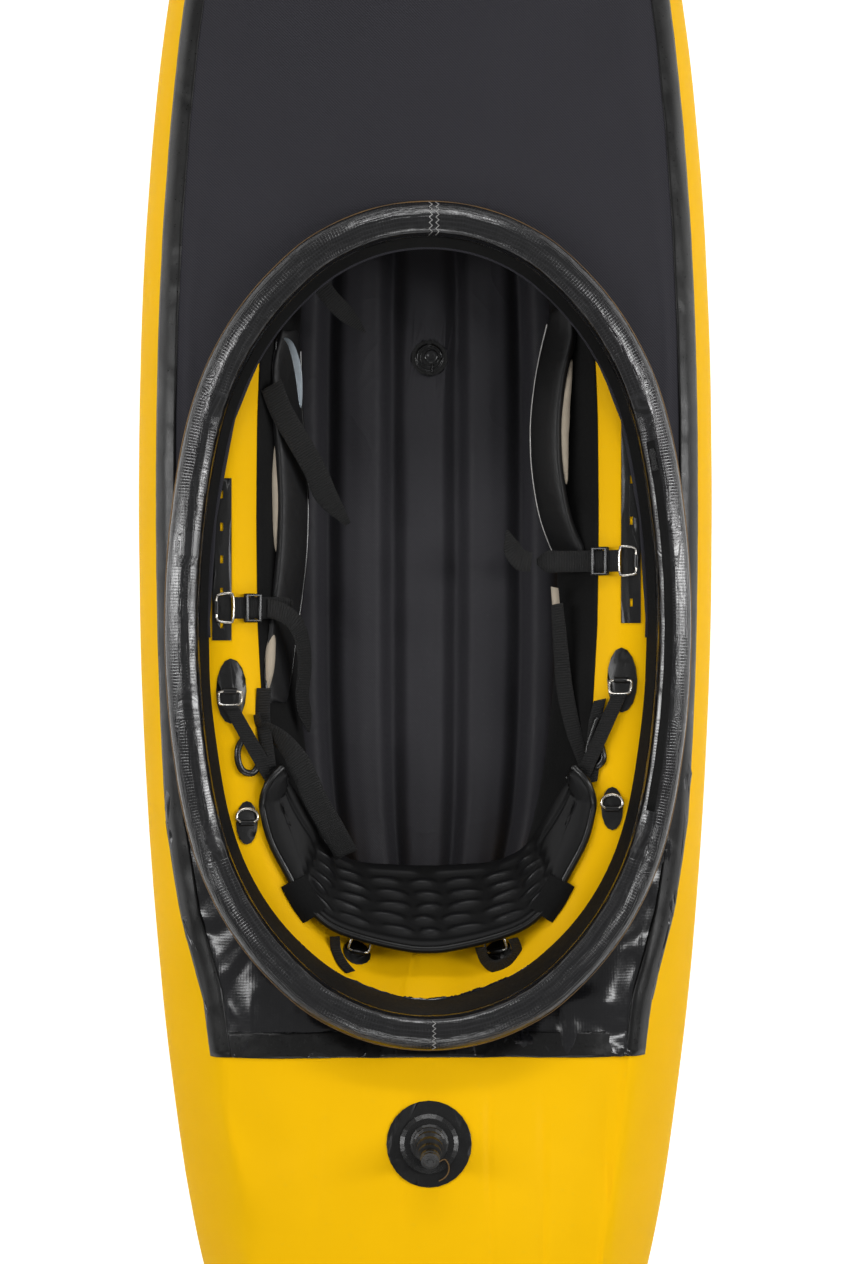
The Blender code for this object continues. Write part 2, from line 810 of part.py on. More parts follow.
def make_hull():
    shape = grid_bmesh(ROWS, wrap_rows=True, wrap_columns=True)
    bmesh.ops.recalc_face_normals(shape, faces=shape.faces)
    hull = smooth_object(object_from_bmesh("hull_skin", shape, YELLOW), 60)
    solidify(hull, HULL_SKIN, -1.0)
    reach = OVERRUN
    profile = [(0, reach), (VALVE_HOLE_RADIUS, reach), (VALVE_HOLE_RADIUS, -reach), (0, -reach)]
    hole = turned("valve_hole", profile, YELLOW, rear_valve_frame(), home=CUTTERS)
    boolean(hull, "DIFFERENCE", hole)


def make_floor_skin():
    bottom = STATIONS[0].angles.index(270)
    base = [row[bottom] - Vector((0, 0, GAP)) for row in ROWS]
    lap = [row[bottom + 1] - Vector((0, 0, GAP)) for row in ROWS]
    rows = []
    for outer, point in zip(lap, base):
        row = []
        for share in (FLOOR_FLAT_SHARE, *FLOOR_RING_SHARES):
            y = point.y * share
            row.append(Vector((point.x * share, y, FLOOR_SKIN + rocker(y))))
        rows.append(row + [point, outer])
    shape = grid_bmesh(rows, wrap_rows=True)
    shape.verts.ensure_lookup_table()
    shape.faces.new([shape.verts[k * len(rows[0])] for k in range(len(rows))])
    bmesh.ops.recalc_face_normals(shape, faces=shape.faces)
    shape.normal_update()
    if sum(face.normal.z for face in shape.faces) > 0:
        bmesh.ops.reverse_faces(shape, faces=shape.faces)
    floor = smooth_object(object_from_bmesh("floor_skin", shape, FLOOR_BLACK))
    solidify(floor, FLOOR_SKIN)


def mat_half_width(y):
    reach = MAT_BOW_REACH if y > 0 else MAT_STERN_REACH
    share = min(abs(y) / reach, 1.0)
    return MAT_HALF_WIDTH * (1 - share**MAT_ROUNDNESS) ** (1 / MAT_ROUNDNESS)


def mat_profile(x):
    """Height of the ribbed top at a distance from the middle, between valley and crest."""
    share = (x / MAT_RIB_PITCH + 0.5) % 1.0
    return mix(MAT_VALLEY, MAT_CREST, math.sqrt(max(math.sin(math.pi * share), 0.0)))


def make_floor_mat():
    """Ribs run fore and aft, and the ends and sides drop to a thin welded edge."""
    floor_z = FLOOR_SKIN + GAP
    columns = []
    rib_edges = [-2.5, -1.5, -0.5, 0.5, 1.5, 2.5]
    for a, b in zip(rib_edges, rib_edges[1:]):
        columns += [mix(a, b, k / RIB_STEPS) * MAT_RIB_PITCH for k in range(RIB_STEPS)]
    columns.append(rib_edges[-1] * MAT_RIB_PITCH)
    limit = columns[-1]
    rows = []
    for k in range(MAT_ROWS + 1):
        turn = math.pi * (k / MAT_ROWS - 0.5)
        reach = MAT_BOW_REACH if turn > 0 else MAT_STERN_REACH
        share = math.sin(turn)
        y = reach * math.copysign(abs(share) ** 0.8, share)
        y = math.copysign(min(abs(y), reach * 0.985), y) if k in (0, MAT_ROWS) else y
        width = mat_half_width(y)
        place, _, _, _ = HULL_TREE.ray_cast(Vector((0, y, MAT_EDGE)), Vector((1, 0, 0)))
        if place is not None:
            width = min(width, place.x - MAT_SIDE_GAP)
        end_drop = min((reach - abs(y)) / MAT_RIB_PITCH, 1.0)
        end_share = math.sqrt(max(1 - (1 - end_drop) ** 2, 0.0))
        row = []
        for x in columns:
            squeezed = max(-width, min(width, x * min(1.0, width / limit * 1.12)))
            side_drop = min((width - abs(squeezed)) / (MAT_RIB_PITCH * 0.4), 1.0)
            side_share = math.sqrt(max(1 - (1 - side_drop) ** 2, 0.0))
            height = mix(MAT_EDGE, mat_profile(x), end_share * side_share)
            row.append(Vector((squeezed, y, floor_z + height)))
        for n in range(1, len(row)):
            row[n].x = max(row[n].x, row[n - 1].x + GAP * 4)
        shift = (row[0].x + row[-1].x) / 2
        for point in row:
            point.x -= shift
        rows.append(row)
    shape = grid_bmesh(rows)
    rim = [edge for edge in shape.edges if edge.is_boundary]
    pushed = bmesh.ops.extrude_edge_only(shape, edges=rim)
    lowered = [part for part in pushed["geom"] if isinstance(part, bmesh.types.BMVert)]
    for vertex in lowered:
        vertex.co.z = floor_z
    lower_edges = [part for part in pushed["geom"] if isinstance(part, bmesh.types.BMEdge)]
    bmesh.ops.contextual_create(shape, geom=[edge for edge in lower_edges if edge.is_boundary])
    bmesh.ops.recalc_face_normals(shape, faces=shape.faces)
    mat = smooth_object(object_from_bmesh("floor_mat", shape, FLOOR_BLACK), 50)
    top = floor_z + MAT_CREST
    frame = Matrix.Translation((FLOOR_VALVE_X, FLOOR_VALVE_Y, top))
    radius = FLOOR_VALVE_RADIUS + 3 * GAP
    profile = [(0, OVERRUN), (radius, OVERRUN), (radius, -FLOOR_VALVE_POCKET)]
    profile.append((0, -FLOOR_VALVE_POCKET))
    boolean(mat, "DIFFERENCE", turned("mat_pocket", profile, FLOOR_BLACK, frame, home=CUTTERS))
    return top


def make_floor_valve(top):
    """A low socket sunk in the mat, and a round cap that flips up at its front edge."""
    base_z = top - FLOOR_VALVE_POCKET + GAP
    frame = Matrix.Translation((FLOOR_VALVE_X, FLOOR_VALVE_Y, base_z))
    height = FLOOR_VALVE_POCKET
    outer, inner = FLOOR_VALVE_RADIUS, FLOOR_VALVE_RADIUS * 0.55
    groove = outer * 0.82
    lip = height * 0.25
    profile = [
        (inner, height), (groove, height), (groove, height - lip), (outer, height - lip),
        (outer, 0), (0, 0), (0, lip), (inner, lip),
    ]
    base = turned("floor_valve_base", profile, PLASTIC_BLACK, frame)
    hinge_y = FLOOR_VALVE_Y + outer * 0.9
    hinge_z = base_z + height + lip
    ear = box_mesh("valve_ears", (outer * 0.5, lip * 1.6, lip * 3))
    ear.matrix_world = Matrix.Translation((FLOOR_VALVE_X, hinge_y, hinge_z - lip))
    slot_low = (FLOOR_VALVE_X - outer * 0.14, hinge_y - OVERRUN, base_z + height - lip * 0.5)
    slot_high = (FLOOR_VALVE_X + outer * 0.14, hinge_y + OVERRUN, hinge_z + OVERRUN)
    boolean(base, "UNION", ear)
    boolean(base, "DIFFERENCE", box_cutter("ear_slot", slot_low, slot_high))
    pin = turned(
        "ear_pin_hole",
        [(0, outer), (lip * 0.42, outer), (lip * 0.42, -outer), (0, -outer)],
        PLASTIC_BLACK,
        frame_at((FLOOR_VALVE_X, hinge_y, hinge_z), (1, 0, 0), (0, 1, 0)),
        steps=10,
        home=CUTTERS,
    )
    boolean(base, "DIFFERENCE", pin)
    cap_z = base_z + height + GAP
    cap_frame = Matrix.Translation((FLOOR_VALVE_X, FLOOR_VALVE_Y, cap_z))
    cap_radius = outer * 0.80
    thick = lip * 1.1
    cap_profile = [
        (0, thick), (cap_radius * 0.86, thick), (cap_radius, thick * 0.55),
        (cap_radius, 0), (0, 0),
    ]
    cap = turned("floor_valve_cap", cap_profile, PLASTIC_BLACK, cap_frame)
    tongue = box_mesh("cap_tongue", (outer * 0.24, outer * 0.36, thick * 0.7))
    tongue.matrix_world = Matrix.Translation(
        (FLOOR_VALVE_X, hinge_y - outer * 0.16, hinge_z - lip + GAP + thick * 0.45)
    )
    axle = turned(
        "cap_axle",
        [(0, outer * 0.235), (lip * 0.3, outer * 0.235), (lip * 0.3, -outer * 0.235),
         (0, -outer * 0.235)],
        PLASTIC_BLACK,
        frame_at((FLOOR_VALVE_X, hinge_y, hinge_z), (1, 0, 0), (0, 1, 0)),
        steps=10,
        home=CUTTERS,
    )
    grip = box_mesh("cap_grip", (outer * 0.3, cap_radius * 0.9, thick * 1.4))
    grip.matrix_world = Matrix.Translation(
        (FLOOR_VALVE_X, FLOOR_VALVE_Y - cap_radius * 0.75, cap_z + thick * 0.95)
    )
    for piece in (tongue, axle, grip):
        boolean(cap, "UNION", piece)


def box_mesh(name, size):
    shape = bmesh.new()
    bmesh.ops.create_cube(shape, size=1, matrix=Matrix.Diagonal((*size, 1)))
    return object_from_bmesh(name, shape, PLASTIC_BLACK, CUTTERS)


def make_liners():
    first = STATIONS[0].angles.index(LINER_TOP_ANGLE)
    last = STATIONS[0].angles.index(LINER_LAST_ANGLE)
    count = len(ROWS)
    for name, middle in (("left", count // 2), ("right", 0)):
        near = [middle + k for k in range(-5, 6)]
        indices = [k for k in near if abs(STATIONS[k % count].outer.y) < LINER_REACH]
        hull_strip(f"liner_{name}", indices, first, last, GAP, LINER_SKIN, MATTE_BLACK)


# Deck


def front_indices():
    """Hull stations from the right end of the front deck round the bow to its left end."""
    count = len(STATIONS)
    limit = DECK_JOINT_Y - OVERRUN - DECK_END_REACH
    right = [k - count for k in range(count // 2 + STATIONS_PER_QUARTER, count)]
    right = [k for k in right if STATIONS[k].outer.y > limit]
    front = list(range(0, count // 2 + 1))
    left = [k for k in range(count // 2 + 1, count) if STATIONS[k].outer.x < 0]
    left = [k for k in left if STATIONS[k].outer.y > limit]
    return right + front + left


def make_front_deck():
    leave = 4
    rows = []
    offset = offset_rows(GAP)
    for k in front_indices():
        station = STATIONS[k]
        sign = 1 if station.outer.x > 0 else -1
        edge = deck_edge_point(sign, station.outer.y)
        start = offset[k][leave]
        rows.append(offset[k][1 : leave + 1] + [mix(start, edge, 0.5), edge])
    shape = grid_bmesh(rows)
    trim(shape, (0, DECK_JOINT_Y, 0), (0, -1, 0))
    shape.normal_update()
    if sum(face.normal.z * face.calc_area() for face in shape.faces) < 0:
        bmesh.ops.reverse_faces(shape, faces=shape.faces)
    return smooth_object(solidify(object_from_bmesh("deck_front", shape, CHARCOAL), DECK_SKIN))


def tape_line(k, column):
    point = ROWS[k][column]
    return (point.x, point.y)


def line_between(points, y):
    """Where a chain of plan points crosses a level line."""
    for a, b in zip(points, points[1:]):
        if (a[1] - y) * (b[1] - y) <= 0 and a[1] != b[1]:
            return (mix(a[0], b[0], (y - a[1]) / (b[1] - a[1])), y)
    return points[-1]


def left_chain(column):
    """Plan points of a tape edge down the left side, from the front deck to past the hem."""
    count = len(STATIONS)
    picked = [k for k in range(count // 2 - 3, 3 * count // 4) if STATIONS[k].outer.x < 0]
    return [tape_line(k, column) for k in picked]


def make_rear_deck():
    start_y = DECK_JOINT_Y - GAP
    chain = left_chain(1)
    left = [line_between(chain, start_y)]
    left += [point for point in chain if DECK_HEM_Y < point[1] < start_y - GAP]
    left.append(line_between(chain, DECK_HEM_Y))
    right = [(-x, y) for x, y in reversed(left)]
    edge = oval_at(start_y - COAMING_CENTRE_Y, -DECK_EDGE_INSET)
    inner = [(edge.x, start_y)]
    angles = quarter_angles()
    for angle in angles:
        point = oval_point(angle, -DECK_EDGE_INSET)
        y = COAMING_CENTRE_Y - point.y
        if y < start_y - OVERRUN / 4:
            inner.append((point.x, y))
    inner += [(-x, y) for x, y in reversed(inner[:-1])]
    outline = left + right + inner
    bottom = side_top_z() - SIDE_TUBE_HEIGHT * 0.35
    deck = prism("deck_rear", outline, bottom, HULL_WIDTH, GLOSS_BLACK)
    boolean(deck, "INTERSECT", FORM_DECK)
    boolean(deck, "DIFFERENCE", FORM_GAP)
    return smooth_object(deck)


def make_tapes():
    """A tape over the deck's outer edge down each side, from the bow to the hem."""
    count = len(STATIONS)
    offset = 2 * GAP + DECK_SKIN
    quarter = count // 4
    past = next(k for k in range(1, quarter) if STATIONS[count - k].outer.y < DECK_HEM_Y)
    left = list(range(quarter - 1, count // 2 + past + 2))
    right = list(range(-past - 1, quarter + 2))
    for name, side, indices in (("left", -1, left), ("right", 1, right)):
        cuts = (((0, DECK_HEM_Y, 0), (0, -1, 0)), ((side * GAP, 0, 0), (-side, 0, 0)))
        tape = f"deck_tape_{name}"
        hull_strip(tape, indices, 1, 2, offset, TAPE_SKIN, GLOSS_BLACK, cuts)


def make_hem():
    chain = left_chain(2)
    inset = 3 * GAP
    rear = line_between(chain, DECK_HEM_Y)
    front = line_between(chain, DECK_HEM_Y + HEM_WIDTH)
    outline = [
        (rear[0] + inset, DECK_HEM_Y), (-rear[0] - inset, DECK_HEM_Y),
        (-front[0] - inset, DECK_HEM_Y + HEM_WIDTH), (front[0] + inset, DECK_HEM_Y + HEM_WIDTH),
    ]
    bottom = side_top_z() - SIDE_TUBE_HEIGHT * 0.35
    hem = prism("deck_hem_tape", outline, bottom, HULL_WIDTH, GLOSS_BLACK)
    boolean(hem, "INTERSECT", FORM_HEM_HIGH)
    boolean(hem, "DIFFERENCE", FORM_HEM_LOW)


# Coaming


RING = coaming_stations()


def lip_place(k, inset, rise):
    """A point on the lip, a distance outward from its inner edge and above its base."""
    place, normal = RING[k % len(RING)]
    plan = place + normal * inset
    return Vector((plan.x, plan.y, lip_z(place.y) + rise))


def lip_paths():
    return [
        [lip_place(k, s * LIP_WIDTH, h * LIP_HEIGHT) for s, h in LIP_SHARES]
        for k in range(len(RING))
    ]


def deck_levels(decks, spot):
    start = Vector((spot.x, spot.y, RAY_START))
    hits = [tree.ray_cast(start, Vector((0, 0, -1))) for tree in decks]
    return [hit[0].z for hit in hits if hit[0] is not None]


def make_coaming(decks):
    shape = grid_bmesh(lip_paths(), wrap_rows=True)
    shape.normal_update()
    top = [face for face in shape.faces if face.calc_center_median().z > LIP_SIDE_Z]
    if sum(face.normal.z * face.calc_area() for face in top) < 0:
        bmesh.ops.reverse_faces(shape, faces=shape.faces)
    sleeve = object_from_bmesh("coaming_sleeve", shape, GLOSS_BLACK)
    smooth_object(solidify(sleeve, LIP_SKIN, -1.0))
    hoop = [lip_place(k, LIP_WIDTH - HOOP_INSET, HOOP_Z) for k in range(len(RING))]
    wire("coaming_hoop", hoop, HOOP_RADIUS, PLASTIC_BLACK, cyclic=True)
    outside = LIP_WIDTH + PIPING_RADIUS * PIPING_SEAT_SHARE
    piping = [lip_place(k, outside, -PIPING_DROP) for k in range(len(RING))]
    wire("coaming_piping", piping, PIPING_RADIUS, PIPING_BROWN, cyclic=True, resolution=0)
    rows = []
    slit = LIP_SHARES[-1][0] * LIP_WIDTH
    for k in range(len(RING)):
        place, normal = RING[k]
        foot = place - normal * WALL_LEAN
        beside = [RING[k - 1][0], place, RING[(k + 1) % len(RING)][0]]
        levels = []
        for other in beside:
            for share in (0.0, 0.25, 0.5):
                for shift in (-WALL_SKIN, 0.0, 2 * WALL_SKIN):
                    spot = foot + (other - place) * share + normal * shift
                    levels += deck_levels(decks, spot)
        foot_z = max(levels) + WALL_SEAT
        top = lip_place(k, slit * 0.5, -LIP_SKIN)
        rows.append([
            Vector((foot.x, foot.y, foot_z)),
            top - Vector((normal.x, normal.y, 0)) * slit * 0.25 - Vector((0, 0, 3 * LIP_SKIN)),
            top,
        ])
    shape = grid_bmesh(rows, wrap_rows=True)
    shape.normal_update()
    middle = shape.faces[:][0]
    if middle.normal.dot(Vector((1, 0, 0))) < 0:
        bmesh.ops.reverse_faces(shape, faces=shape.faces)
    wall = object_from_bmesh("coaming_wall", shape, MATTE_BLACK)
    smooth_object(solidify(wall, WALL_SKIN))


def side_arc_frame():
    """The centre of the coaming's right side arc."""
    return Vector((LIP_INNER_WIDTH - COAMING_SIDE_RADIUS, COAMING_CENTRE_Y))


ZIP_SHARES = (LIP_SHARES[2], LIP_SHARES[3])


def make_zip():
    """A tape along the lip's right side arc, and a slider that runs on it."""
    rows = []
    for k in range(-COAMING_STEPS, COAMING_STEPS + 1):
        a, b = [lip_place(k, s * LIP_WIDTH, h * LIP_HEIGHT) for s, h in ZIP_SHARES]
        slope = (b - a).normalized()
        up = (Vector((0, 0, 1)) - slope * slope.z).normalized()
        margin = (b - a) * ZIP_MARGIN_SHARE
        rows.append([a + margin + up * GAP * 2, b - margin + up * GAP * 2])
    shape = grid_bmesh(rows)
    shape.normal_update()
    if sum(face.normal.z for face in shape.faces) < 0:
        bmesh.ops.reverse_faces(shape, faces=shape.faces)
    tape = object_from_bmesh("zip_tape", shape, MATTE_BLACK)
    smooth_object(solidify(tape, ZIP_TAPE_SKIN))
    centre = side_arc_frame()
    angle = SIDE_ANGLE * SLIDER_PLACE_SHARE
    (s_a, h_a), (s_b, h_b) = ZIP_SHARES
    s, h = (s_a + s_b) / 2 * LIP_WIDTH, (h_a + h_b) / 2 * LIP_HEIGHT
    radius = COAMING_SIDE_RADIUS + s
    plan = centre + Vector((math.cos(angle), math.sin(angle))) * radius
    slope = math.atan2((h_b - h_a) * LIP_HEIGHT, (s_b - s_a) * LIP_WIDTH)
    seat = ZIP_TAPE_SKIN + ZIP_CLEARANCE + 3 * GAP
    length, width, height = SLIDER_LENGTH, SLIDER_WIDTH, SLIDER_HEIGHT
    place = Vector((plan.x, plan.y, LIP_SIDE_Z + h))
    out = Vector((math.cos(angle) * math.cos(slope), math.sin(angle) * math.cos(slope),
                  math.sin(slope)))
    along = Vector((-math.sin(angle), math.cos(angle), 0))
    up = out.cross(along)
    frame = frame_at(place + up * (seat + height / 2), up, along)
    outline = [
        (-length / 2, -width * 0.5), (length * 0.1, -width * 0.5), (length / 2, -width * 0.28),
        (length / 2, width * 0.28), (length * 0.1, width * 0.5), (-length / 2, width * 0.5),
    ]
    slider = as_mesh(plate("zip_slider", [outline], height, PLASTIC_BLACK, frame))
    pull_frame = frame_at(place + up * (seat + height * 1.15) - along * length * 0.9, up, along)
    reach, half = PULL_REACH, PULL_HALF_WIDTH
    pull_outline = [(-reach, -half), (reach, -half * 0.7), (reach, half * 0.7), (-reach, half)]
    pull = as_mesh(
        plate("zip_pull", [pull_outline], height * 0.5, PLASTIC_BLACK, pull_frame, home=CUTTERS)
    )
    boolean(slider, "UNION", pull)
    return centre


# Rear valve


def bellows_ring(frame, height, radius, steps=16):
    """A circle across the tube's curved centre line, which leans towards the stern."""
    lean = math.radians(BELLOWS_LEAN)
    curved = BELLOWS_LENGTH * (1 - BELLOWS_STRAIGHT_SHARE)
    bend = curved / lean
    turn = min(height, curved) / bend
    straight = max(height - curved, 0.0)
    y = -bend * (1 - math.cos(turn)) - straight * math.sin(turn)
    z = bend * math.sin(turn) + straight * math.cos(turn)
    matrix = frame @ Matrix.Translation((0, y, z)) @ Matrix.Rotation(turn, 4, "X")
    return matrix, [matrix @ Vector((*point, 0)) for point in circle_points(radius, steps)]


def make_bellows(frame):
    """A ribbed tube with a bore, and the frame of its mouth."""
    pitch = BELLOWS_LENGTH / BELLOWS_RIBS
    rings = []
    for k in range(BELLOWS_RIBS):
        radius = mix(BELLOWS_BASE_RADIUS, BELLOWS_TIP_RADIUS, k / (BELLOWS_RIBS - 1))
        low = k * pitch
        rings.append(bellows_ring(frame, low, radius - BELLOWS_RIB * (k > 0))[1])
        rings.append(bellows_ring(frame, low + pitch * 0.3, radius)[1])
        rings.append(bellows_ring(frame, low + pitch * 0.8, radius)[1])
    tip = BELLOWS_TIP_RADIUS - BELLOWS_RIB * 0.4
    matrix, last = bellows_ring(frame, BELLOWS_LENGTH, tip)
    rings.append(last)
    for share in (1.0, 0.7, 0.35, 0.0):
        rings.append(bellows_ring(frame, BELLOWS_LENGTH * share, VALVE_BORE_RADIUS)[1])
    shape = grid_bmesh(rings, wrap_rows=True, wrap_columns=True)
    bmesh.ops.recalc_face_normals(shape, faces=shape.faces)
    smooth_object(object_from_bmesh("rear_valve_tube", shape, PLASTIC_BLACK), 30)
    return matrix @ Matrix.Translation((0, 0, GAP))


def make_rear_valve():
    frame = rear_valve_frame()
    outline = circle_points(VALVE_PATCH_RADIUS, 28)
    hole_radius = VALVE_HOLE_RADIUS
    hull_patch("rear_valve_patch", [outline, circle_points(hole_radius, 20)], frame)
    seat = GAP + PATCH_SKIN + VALVE_SEAT_LIFT
    neck = VALVE_NECK_RADIUS
    flange = VALVE_FLANGE_RADIUS
    top = seat + VALVE_FLANGE
    deep = -VALVE_NECK_DEPTH
    profile = [
        (VALVE_BORE_RADIUS, top), (flange * 0.85, top), (flange, seat + VALVE_FLANGE * 0.4),
        (flange, seat), (neck, seat), (neck, deep), (VALVE_BORE_RADIUS, deep),
    ]
    turned("rear_valve_body", profile, PLASTIC_BLACK, frame)
    tube_frame = frame @ Matrix.Translation((0, 0, top + GAP))
    stop_frame = make_bellows(tube_frame)
    head = STOPPER_HEAD_RADIUS
    knob, disc, shoulder, edge = STOPPER_STEPS
    profile = [
        (0, knob), (head * 0.3, knob), (head * 0.36, disc), (head * 0.66, disc),
        (head * 0.72, shoulder), (head, edge), (head, 0), (STOPPER_PLUG_RADIUS, 0),
        (STOPPER_PLUG_RADIUS * 0.9, -STOPPER_PLUG), (0, -STOPPER_PLUG),
    ]
    turned("rear_valve_stopper", profile, PLASTIC_BLACK, stop_frame, steps=20)
    return stop_frame


def circle_points(radius, count):
    turns = [2 * math.pi * k / count for k in range(count)]
    return [(radius * math.cos(turn), radius * math.sin(turn)) for turn in turns]


# Rings, tabs and patches


def d_ring_points(width, depth, steps=6):
    """A bar on the hinge axis and an arch beyond it, in the XY plane."""
    half = width / 2
    points = [(-half, 0, 0), (half, 0, 0)]
    for k in range(steps + 1):
        turn = math.pi * k / steps
        points.append((half * math.cos(turn), -depth * (0.45 + 0.55 * math.sin(turn)), 0))
    return points


def triangle_points(bar, far_bar, depth):
    """A bar on the hinge axis and a wider one for the webbing, with rounded corners."""
    near, far = bar / 2, far_bar / 2
    return [
        (-near, 0, 0), (near, 0, 0), (near + depth * 0.08, -depth * 0.12, 0),
        (far, -depth * 0.84, 0), (far * 0.9, -depth, 0), (-far * 0.9, -depth, 0),
        (-far, -depth * 0.84, 0), (-near - depth * 0.08, -depth * 0.12, 0),
    ]


def oval_outline(length, width, count=16):
    turns = [2 * math.pi * k / count for k in range(count)]
    return [(width / 2 * math.cos(turn), length / 2 * math.sin(turn)) for turn in turns]


def rectangle(low_x, high_x, low_y, high_y):
    return [(low_x, low_y), (high_x, low_y), (high_x, high_y), (low_x, high_y)]


def add_tab(patch, frame):
    """A cross tube on the patch for the ring's bar, and the frame of that bar."""
    axis_height = GAP + PATCH_SKIN + TAB_RADIUS
    tab_frame = frame @ Matrix.Translation((-TAB_WIDTH / 2, 0, axis_height))
    tab_frame = tab_frame @ Matrix.Rotation(math.pi / 2, 4, "Y")
    profile = [(0, TAB_WIDTH), (TAB_RADIUS, TAB_WIDTH), (TAB_RADIUS, 0), (0, 0)]
    tab = turned(f"{patch.name}_tab", profile, PLASTIC_BLACK, tab_frame, 12, CUTTERS)
    sole = GAP + PATCH_SKIN / 2
    foot = box_mesh(f"{patch.name}_foot", (TAB_WIDTH, 2 * TAB_RADIUS, axis_height - sole))
    foot.matrix_world = frame @ Matrix.Translation((0, 0, (axis_height + sole) / 2))
    reach = TAB_WIDTH
    profile = [(0, 2 * reach), (TAB_BORE, 2 * reach), (TAB_BORE, -reach), (0, -reach)]
    bore = turned(f"{patch.name}_bore", profile, PLASTIC_BLACK, tab_frame, 12, CUTTERS)
    boolean(patch, "UNION", foot)
    boolean(patch, "UNION", tab)
    boolean(patch, "DIFFERENCE", bore)
    return frame @ Matrix.Translation((0, 0, axis_height))


def hull_patch(name, outlines, frame):
    """A sheet cut to the hull's surface from an outline and its holes."""
    patch = as_mesh(plate(name, outlines, OVERRUN * 1.6, GLOSS_BLACK, frame))
    boolean(patch, "INTERSECT", FORM_PATCH)
    boolean(patch, "DIFFERENCE", FORM_GAP)
    return patch


def ring_frame(axis_frame, lift):
    return axis_frame @ Matrix.Rotation(math.radians(-lift), 4, "X")


def make_ring(name, axis_frame, points, lift):
    """The ring in its tab, lifted about its bar from the surface under it."""
    return wire(name, points, RING_WIRE, STEEL, cyclic=True, matrix=ring_frame(axis_frame, lift))


def ring_eye(axis_frame, depth, lift):
    """The middle of the ring's far bar and the bar's direction."""
    matrix = ring_frame(axis_frame, lift)
    return matrix @ Vector((0, -depth, 0)), matrix.to_3x3() @ Vector((1, 0, 0))


def looped_webbing(name, eye, away, side, width, onward, acrosses=None):
    """Webbing sewn in a loop round the ring's wire, running on through more points."""
    up = side.cross(away).normalized()
    if up.z < 0:
        up.negate()
    layer = WEBBING * 0.5 + GAP
    radius = RING_WIRE + GAP * 2 + WEBBING / 2
    leg = SHORT_LEG
    points = [eye + away * leg - up * layer, eye + away * leg * 0.45 - up * radius * 0.8]
    steps = 4
    for k in range(steps + 1):
        turn = -math.pi / 2 - math.pi * k / steps
        points.append(eye + (away * math.cos(turn) + up * math.sin(turn)) * radius)
    points.append(eye + away * leg * 0.45 + up * radius * 0.8)
    points.append(eye + away * leg + up * layer)
    widths = [side.normalized() * width] * len(points)
    points += onward
    widths += acrosses or [side.normalized() * width] * len(onward)
    return ribbon(name, points, widths, WEBBING, WEBBING_BLACK)


def edge_x(y, inset):
    """Distance from the middle to a line inside the deck's inner edge."""
    return oval_at(y - COAMING_CENTRE_Y, -DECK_EDGE_INSET - inset).x


def make_anchor(name, side):
    low, high = ANCHOR_REACHES[name]
    ring_y = TRIANGLE_Y[name]
    x = side * (LIP_INNER_WIDTH - DECK_EDGE_INSET - TRIANGLE_INSET[name])
    place, normal = top_point(x, ring_y)
    frame = frame_at(place, normal, (0, -side, 0))
    shift = TRIANGLE_INSET[name] - ANCHOR_INSET[name]
    low_edge, high_edge = shift - ANCHOR_WIDTH / 2, shift + ANCHOR_WIDTH / 2
    along = sorted(((ring_y - low) * side, (ring_y - high) * side))
    outlines = [rectangle(along[0], along[1], low_edge, high_edge)]
    pitch = (along[1] - along[0]) / ANCHOR_SLOTS
    for k in range(ANCHOR_SLOTS):
        middle = along[0] + pitch * (k + 0.5)
        reach = ANCHOR_SLOT_LENGTH / 2
        if abs(middle) < reach + TAB_WIDTH * 0.75:
            continue
        slot = ANCHOR_SLOT_WIDTH / 2
        outlines.append(rectangle(middle - reach, middle + reach, shift - slot, shift + slot))
    strip = hull_patch(f"anchor_strip_{name}", outlines, frame)
    axis = add_tab(strip, frame)
    points = triangle_points(TRIANGLE_BAR, TRIANGLE_FAR_BAR, TRIANGLE_DEPTH)
    make_ring(f"triangle_ring_{name}", axis, points, 0)
    return ring_eye(axis, TRIANGLE_DEPTH, 0)


# Thigh gear


def clear_shift(points, clearance):
    """How far these points must move together to be clear of the hull."""
    shift = Vector((0, 0, 0))
    for _ in range(6):
        worst, push = 0.0, None
        for point in points:
            moved = point + shift
            place, normal, _, distance = HULL_TREE.find_nearest(moved)
            inside = (moved - place).dot(normal) < 0
            deficit = clearance + distance if inside else clearance - distance
            if deficit > worst:
                worst, push = deficit, normal
        if push is None:
            break
        shift += push * worst
    return shift


def seat_shift(points, clearance):
    """How far these points must move together to lie this near to the hull."""
    shift = Vector((0, 0, 0))
    for _ in range(8):
        least, push = math.inf, None
        for point in points:
            moved = point + shift
            place, normal, _, distance = HULL_TREE.find_nearest(moved)
            if (moved - place).dot(normal) < 0:
                distance = -distance
            if distance < least:
                least, push = distance, normal
        shift += push * (clearance - least)
    return shift


def loft(name, sections, finish):
    """A closed body through closed sections with the same number of points."""
    shape = grid_bmesh(sections, wrap_columns=True)
    shape.verts.ensure_lookup_table()
    count = len(sections[0])
    last = (len(sections) - 1) * count
    shape.faces.new([shape.verts[k] for k in range(count)])
    shape.faces.new([shape.verts[last + k] for k in range(count)])
    bmesh.ops.recalc_face_normals(shape, faces=shape.faces)
    return smooth_object(object_from_bmesh(name, shape, finish), 50)


